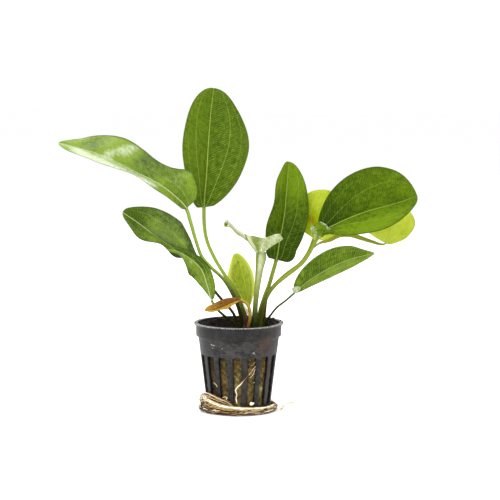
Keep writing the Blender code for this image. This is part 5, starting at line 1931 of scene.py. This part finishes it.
@dataclass(frozen=True)
class RootBundle:
    """The roots that came out of the pot's slots and were wound round its foot.

    heights gives the bundle's height at each azimuth. The single roots are given by azimuth in
    degrees, distance from the axis and height.
    """

    inner: float = 20.1
    outer: float = 23.5
    foot: float = 0.12
    heights: Rows = (
        (0, 3), (60, 3.4), (120, 3.8), (160, 5), (190, 5.6), (215, 4.8), (240, 3.6), (265, 2.7), (320, 2.3),
        (360, 3),
    )
    count: int = 110
    loops: Rows = (
        (172, 208, 2, 9.4, 23.3, 40), (176, 232, 0.5, 2.6, 24.2, 30), (320, 356, 0.5, 3.4, 22.8, 24),
        (232, 320, 0.4, 2.6, 23.2, 26), (196, 235, 6, 10.4, 21.9, 14), (20, 160, 0.4, 4.2, 23, 34),
    )
    thick: Rows = (
        (172, 22.3, 6.9), (185, 22.6, 7.6), (200, 22.6, 7.6), (221, 22.5, 6.6), (243, 22.3, 5.2),
        (262, 22.2, 4.4), (284, 22.2, 4), (306, 22.2, 3.6), (334, 22.1, 3.5), (352, 21.8, 3.7),
    )
    brown: Rows = (
        (186, 21.3, 9.4), (200, 21.4, 10.2), (222, 21.6, 10.6), (238, 21.6, 9.6), (250, 21.4, 8.2),
        (262, 21.3, 6.6),
    )
    front: tuple[tuple[float, float], ...] = (
        (9.4, 29), (6.6, 25.6), (3, 20.9), (0.2, 17.8), (-1.6, 15.4), (-1.1, 12), (-1.5, 10), (-0.8, 7),
    )
    crossed: tuple[tuple[tuple[Point, ...], float, float], ...] = (
        (((6, -22, 24.2), (8, -21.6, 27), (10.2, -20.9, 29.8)), 0.14, 0.8),
        (((6.4, -22.2, 28.4), (8.3, -21.7, 26.4), (10, -21, 24.6)), 0.13, 0.55),
        (((6.6, -22, 22.6), (8.6, -21.4, 24.6), (9.8, -21.2, 27.9)), 0.11, 0.9),
        (((7.2, -22.1, 29.9), (8.8, -21.6, 30.6), (10, -21.3, 32.2)), 0.12, 0.65),
        (((-14.6, -18.2, 19.3), (-13.4, -18.8, 18), (-12.6, -19, 16.6)), 0.2, 0.75),
        (((-9.6, -20.1, 10.6), (-8.3, -20.9, 11.2), (-6.4, -21, 10.9)), 0.2, 0.8),
    )
    spots: Rows = ((7.7, -22, 7.2, 1), (8.8, -21.9, 7.5, 0.7), (-7, -22.2, 10.3, 0.5), (9.2, -22.4, 20, 0.3))
    stray: tuple[Point, ...] = (
        (22.4, -10.5, 1.6), (24.6, -6.5, 1.1), (26.2, 0, 0.7), (27.6, 9, 0.5), (31, 15, 0.5),
        (35.2, 20.5, 0.5),
    )

    def matted(self) -> Shape:
        """The wound roots: each wanders inside the bundle's oval section as it goes round.

        At the azimuth a, a root stands at middle + half-depth * u outwards and at foot + half-height *
        (1 + v), where (u, v) drifts on slow sine waves inside the unit circle.

        Returns:
            All of them, two in five of them dark.
        """
        picker = np.random.default_rng(61)
        steps = 80
        start = picker.uniform(0, 360, self.count)
        span = picker.uniform(50, 230, self.count)
        azimuth = start[:, None] + span[:, None] * np.linspace(0, 1, steps)
        turn = np.radians(azimuth)
        deep = np.sqrt(picker.uniform(0.05, 1.0, self.count))
        phase = picker.uniform(0, 2 * np.pi, (4, self.count, 1))
        pace = picker.uniform(0.6, 2.6, (2, self.count, 1))
        around = phase[0] + 1.3 * np.sin(pace[0] * turn + phase[1])
        around = around + 0.5 * np.sin(6 * pace[1] * turn + phase[2])
        out = deep[:, None] * (0.88 + 0.12 * np.sin(4 * turn + phase[3]))
        thick = picker.uniform(0.13, 0.34, self.count) + 0.25 * (picker.uniform(0, 1, self.count) > 0.9)
        half_depth = (self.outer - self.inner) / 2 - thick[:, None]
        height = eased(self.heights, np.mod(azimuth, 360).ravel()).reshape(azimuth.shape)
        half_height = (height - self.foot) / 2 - thick[:, None]
        reach = (self.inner + self.outer) / 2 + half_depth * out * np.cos(around)
        level = self.foot + thick[:, None] + half_height * (1 + out * np.sin(around))
        paths = polar(np.stack([azimuth, reach, level], -1))
        shrink = np.minimum(1, 8 * np.minimum(np.linspace(0, 1, steps), np.linspace(1, 0, steps)) + 0.3)
        radii = thick[:, None] * shrink * (1 + 0.12 * np.sin(9 * turn + phase[1]))
        kinds = picker.choice(3, self.count, p=(0.4, 0.25, 0.35))
        tones = np.array([0.1, 0.45, 0.9])[kinds] + picker.uniform(-0.1, 0.1, self.count)
        return strands(paths, radii, 6, tones)

    def tangle(self) -> Shape:
        """Loose loops at the bundle's two ends, and strands that have slid down to the ground.

        Each strand bows from one azimuth to another: outwards and upwards by a half sine wave.

        Returns:
            The loops.
        """
        picker = np.random.default_rng(66)
        rows = []
        for first, last, low, high, reach, count in self.loops:
            start = picker.uniform(first, last, count)
            end = start + picker.uniform(8, 30, count) * picker.choice((-1, 1), count)
            levels = picker.uniform(low, high, (2, count))
            away = reach + picker.uniform(-0.9, 0.3, count)
            rows.append(np.stack([start, end, *levels, away, picker.uniform(-0.6, 1.2, count)], 1))
        from_turn, to_turn, from_level, to_level, reach, bow = np.concatenate(rows).T[:, :, None]
        share = np.linspace(0, 1, 18)
        arch = np.sin(np.pi * share)
        azimuth = from_turn + (to_turn - from_turn) * share
        level = from_level + (to_level - from_level) * share + 1.1 * bow * arch
        out = reach + 0.7 * arch * np.cos(7 * bow)
        paths = polar(np.stack([azimuth, out, np.maximum(level, 0.3)], -1))
        count = len(paths)
        radii = picker.uniform(0.09, 0.24, count)[:, None] * (1 - 0.6 * (2 * share - 1) ** 4)
        return strands(paths, radii, 6, picker.choice([0.02, 0.3, 0.6, 1.0], count, p=[0.25, 0.2, 0.2, 0.35]))

    def hairs(self) -> Shape:
        """Fine side roots that leave the bundle for a few millimetres.

        Returns:
            All of them.
        """
        picker = np.random.default_rng(62)
        count, steps = 220, 9
        azimuth = picker.uniform(0, 360, count)
        share = np.linspace(0, 1, steps)
        length = picker.uniform(2.0, 7.0, count)[:, None]
        sway = picker.uniform(-1, 1, (2, count, 1))
        # Millimetres along the bundle become degrees at 22 mm from the axis
        degrees = np.sign(sway[0]) * length * share / 22 * 57.3
        turns = azimuth[:, None] + degrees * 0.9
        height = eased(self.heights, np.mod(turns, 360).ravel()).reshape(turns.shape)
        reach = picker.uniform(20.6, 23.0, count)[:, None] + 0.5 * sway[1] * share**2
        level = height * picker.uniform(0.1, 0.95, count)[:, None] + 0.8 * sway[1] * share * np.sin(4 * share)
        paths = polar(np.stack([turns, np.minimum(reach, 23.4), np.maximum(level, 0.3)], -1))
        radii = picker.uniform(0.06, 0.14, count)[:, None] * (1.1 - share)
        return strands(paths, radii, 4, picker.uniform(0.3, 1, count))

    def core(self) -> Shape:
        """The dark inside of the bundle: a ring a little smaller than it, so no light comes through, coloured
        in the darkest root shade as painted shade between the strands.

        Returns:
            The ring, closed.
        """
        azimuth = np.arange(0, 360, 3.0)
        round_it = 2 * np.pi * np.arange(10) / 10
        height = eased(self.heights, azimuth)
        half_depth = (self.outer - self.inner) / 2 - 0.6
        half_height = height / 2 - 0.45
        reach = (self.inner + self.outer) / 2 + half_depth * np.cos(round_it) + 0 * height
        level = 0.3 + half_height * (1 + np.sin(round_it))
        turns = np.broadcast_to(azimuth[:, None], reach.shape)
        grid = polar(np.stack([turns, reach, level], -1))
        rows, columns = grid.shape[:2]
        quads = np.mod(net(rows + 1, columns, closed=True), rows * columns)
        # Tone 0, the darkest root colour: painted shade between the strands
        return Shape(grid.reshape(-1, 3), [quads], {"strand": np.zeros((rows * columns, 3))})

    def single(self, points: Array, sizes: Row, tones: Row, knots: float = 0.1) -> Shape:
        """One root along a smooth curve through the points, with small knots and tapered ends.

        Args:
            points: the route in millimetres.
            sizes: its radius at evenly spaced places along it.
            tones: its tone at evenly spaced places along it.
            knots: how uneven its thickness is, as a share.

        Returns:
            The root.
        """
        at = along(points)
        steps = max(24, int(at[-1] / 0.5))
        share = np.linspace(0, 1, steps)
        fine = spline(at, points, share * at[-1])
        radius = np.interp(share, np.linspace(0, 1, len(sizes)), sizes)
        wobble = np.stack([waviness(fine, 3.0, seed) for seed in (71, 72, 73)], -1)
        fine = fine + (0.12 + 0.15 * radius)[:, None] * wobble
        taper = np.minimum(1, 0.35 + 12 * np.minimum(share, 1 - share))
        radii = radius * taper * (1 + knots * waviness(fine, 1.6, 74))
        made = strands(fine[None], radii[None], 10, np.array([0.5]), (0.05, 0.03, 1.0))
        mark = made.marks["strand"]
        mark[:, 0] = np.interp(mark[:, 1], np.linspace(0, 1, len(tones)), tones)
        return made

    def on_wall(self) -> Array:
        """The front root's points: it lies on the pot's wall, its middle half a millimetre outside it.

        Returns:
            The points, in millimetres.
        """
        across, height = np.array(self.front).T
        reach = NetPot().radius(height) + 0.5
        return np.column_stack([across, -np.sqrt(reach**2 - across**2), height])

    def build(self) -> None:
        """Makes the bundle and the single roots in place of their CAD solids."""
        # Washed roots: cream where young, tan and brown where old, fibrous and dull
        shades = ("#1c1208", "#503318", "#8a6430", "#c4a468", "#f1ead4")
        skin = Loose("root_bark", shades, 2.4, roughness=0.75, sway=0.4, relief=0.2)
        bark = skin.make()
        wound = self.core().joined(self.matted()).joined(self.hairs()).joined(self.tangle())
        wound.place("roots_wound", bark, "root_tan", "root_mat")

        thick = polar(self.thick)
        outward = unit(thick * (1, 1, 0))
        spread = np.linspace(1.0, 0.0, len(thick))[:, None] ** 1.5 * (0, 0, 0.8) + (0, 0, 0.2)
        pale = self.single(thick, (0.2, 0.3, 0.5, 0.7, 0.68, 0.45), (0.9, 1.0, 0.95, 1.0))
        for lift, out, size, tone in (
            (1.5, 0.0, 0.2, 0.95), (-1.4, 0.4, 0.18, 0.8), (2.6, -0.2, 0.14, 0.6), (-2.8, 0.6, 0.16, 0.75),
            (-0.5, 0.6, 0.12, 0.5),
        ):
            sizes = (size, 1.3 * size, 1.4 * size, size)
            pale = pale.joined(self.single(thick + outward * out + spread * lift, sizes, (tone, tone)))
        pale.place("root_thick_strand", bark, "root_pale", "root_thick")

        brown = polar(self.brown)
        rust = self.single(brown, (0.3, 0.35, 0.3, 0.15), (0.15, 0.3, 0.1), 0.2)
        picker = np.random.default_rng(67)
        for tone in (0, 0.5, 0.1, 0.9, 0, 0.3, 0.7, 0.1, 1, 0.2, 0, 0.5, 0.1, 0.8, 0, 0.95, 0.2, 0.6):
            first, last = picker.integers(0, 3), len(brown) - picker.integers(0, 3)
            lift, lean, size = picker.uniform((-1.5, -1.0, 0.1), (1.2, 1.0, 0.22))
            beside = brown[first:last] + unit(brown[first:last] * (1, 1, 0)) * picker.uniform(0.2, 0.9)
            rise = lift + lean * np.linspace(-1, 1, len(beside))
            beside[:, 2] += rise + picker.uniform(-0.3, 0.3, len(beside))
            rust = rust.joined(self.single(beside, (size, size * 1.2, size * 0.6), (tone, 0.8 * tone)))
        rust.place("root_brown_strand", bark, "root_tan", "root_brown")

        sizes, tones = (0.07, 0.07, 0.12, 0.3, 0.32, 0.3, 0.34), (0.2, 0.3, 0.5, 1.0, 1.0, 0.95, 1.0)
        front = self.single(self.on_wall(), sizes, tones)
        for route, size, tone in self.crossed:
            front = front.joined(self.single(np.array(route), (size, size), (tone, tone)))
        spots = np.array(self.spots)
        bits = pebbles(spots[:, :3], spots[:, 3], 75)
        bits.marks["strand"][:] = 1.0
        front.joined(bits).place("root_front_strand", bark, "root_pale", "root_front")

        line = np.array(self.stray)
        stray = self.single(line, (0.3, 0.34, 0.25), (0.85, 1.0))
        for start, heading, reach in ((0.25, 70, 4.5), (0.5, -60, 5.0), (0.7, 50, 4.0), (0.85, -35, 3.5)):
            base = spline(np.arange(len(line)), line, np.array([start * (len(line) - 1)]))[0]
            way = np.radians(heading)
            share = np.linspace(0, 1, 6)[:, None]
            side = base + reach * share * (np.cos(way), np.sin(way), 0) + share**2 * (0.8, 0.4, 0)
            side[:, 2] = 0.35
            stray = stray.joined(self.single(side, (0.17, 0.1), (0.8, 0.7)))
        stray.place("root_stray_strand", bark, "root_pale", "root_stray")


# ---------------------------------------------------------------- studio


@dataclass(frozen=True)
class Studio:
    """A white cove: a pale floor, light from all round, soft lamps at the front left, behind and above."""

    camera_place: Point = (0.0068, -0.900, 0.184)
    camera_down: float = 5.553
    view_angle: float = 18.84
    sky: float = 1.06
    floor_reach: float = 40.0
    floor_drop: float = 0.0002

    def build(self) -> None:
        """Makes the world, the lamps, the floor and the camera."""
        scene = bpy.context.scene
        scene.view_settings.view_transform = "Standard"
        world = bpy.data.worlds.new("white_cove")
        world.use_nodes = True
        background = world.node_tree.nodes["Background"].inputs
        background[0].default_value = (1.0, 1.0, 1.0, 1.0)
        background[1].default_value = self.sky
        scene.world = world

        # White laminate, lit so far that its edge is lost in the background
        material, node = blank("white_laminate")
        face = node("BsdfPrincipled", {"Base Color": (0.93, 0.93, 0.93, 1.0), "Roughness": 0.6})
        node("OutputMaterial", {"Surface": face})
        mesh = bpy.data.meshes.new("floor")
        far = self.floor_reach
        corners = [(x, y, -self.floor_drop) for x, y in ((-far, -far), (far, -far), (far, far), (-far, far))]
        mesh.from_pydata(corners, [], [(0, 1, 2, 3)])
        mesh.materials.append(material)
        floor = bpy.data.objects.new("floor", mesh)
        scene.collection.objects.link(floor)

        self.lamp("key", (-0.35, -0.8, 1.0), 0.7, 10.0)
        self.lamp("back", (-0.1, 0.9, 0.8), 1.1, 8.0)
        self.lamp("top", (-0.1, -0.3, 1.25), 0.8, 5.0)

        camera = bpy.data.cameras.new("camera")
        camera.sensor_fit = "HORIZONTAL"
        camera.angle = math.radians(self.view_angle)
        eye = bpy.data.objects.new("camera", camera)
        eye.location = self.camera_place
        eye.rotation_euler = (math.radians(90 - self.camera_down), 0.0, 0.0)
        scene.collection.objects.link(eye)
        scene.camera = eye

    def lamp(self, name: str, place: Point, size: float, power: float) -> None:
        """Adds a square soft lamp that points at the plant's middle.

        Args:
            name: its name.
            place: where it stands, in metres.
            size: its side, in metres.
            power: in watts.
        """
        data = bpy.data.lights.new(name, "AREA")
        data.size = size
        data.energy = power
        made = bpy.data.objects.new(name, data)
        x, y, z = place[0], place[1], place[2] - 0.1
        made.location = place
        made.rotation_euler = (math.atan2(math.hypot(x, y), z), 0.0, math.atan2(-x, y) + math.pi)
        bpy.context.scene.collection.objects.link(made)


def main() -> None:
    """Clears the scene, loads the model and builds every part over it."""
    logging.basicConfig(level=logging.INFO, format="%(message)s")
    for old in list(bpy.data.objects):
        bpy.data.objects.remove(old)
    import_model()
    Studio().build()
    NetPot().build()
    RootingPlug().build()
    GravelLayer().build()
    Crown().build()
    DrySheath().build()
    RootBundle().build()
    for leaf in LEAVES:
        leaf.build()
    YOUNG.build()
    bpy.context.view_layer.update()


if __name__ == "__main__":
    main()
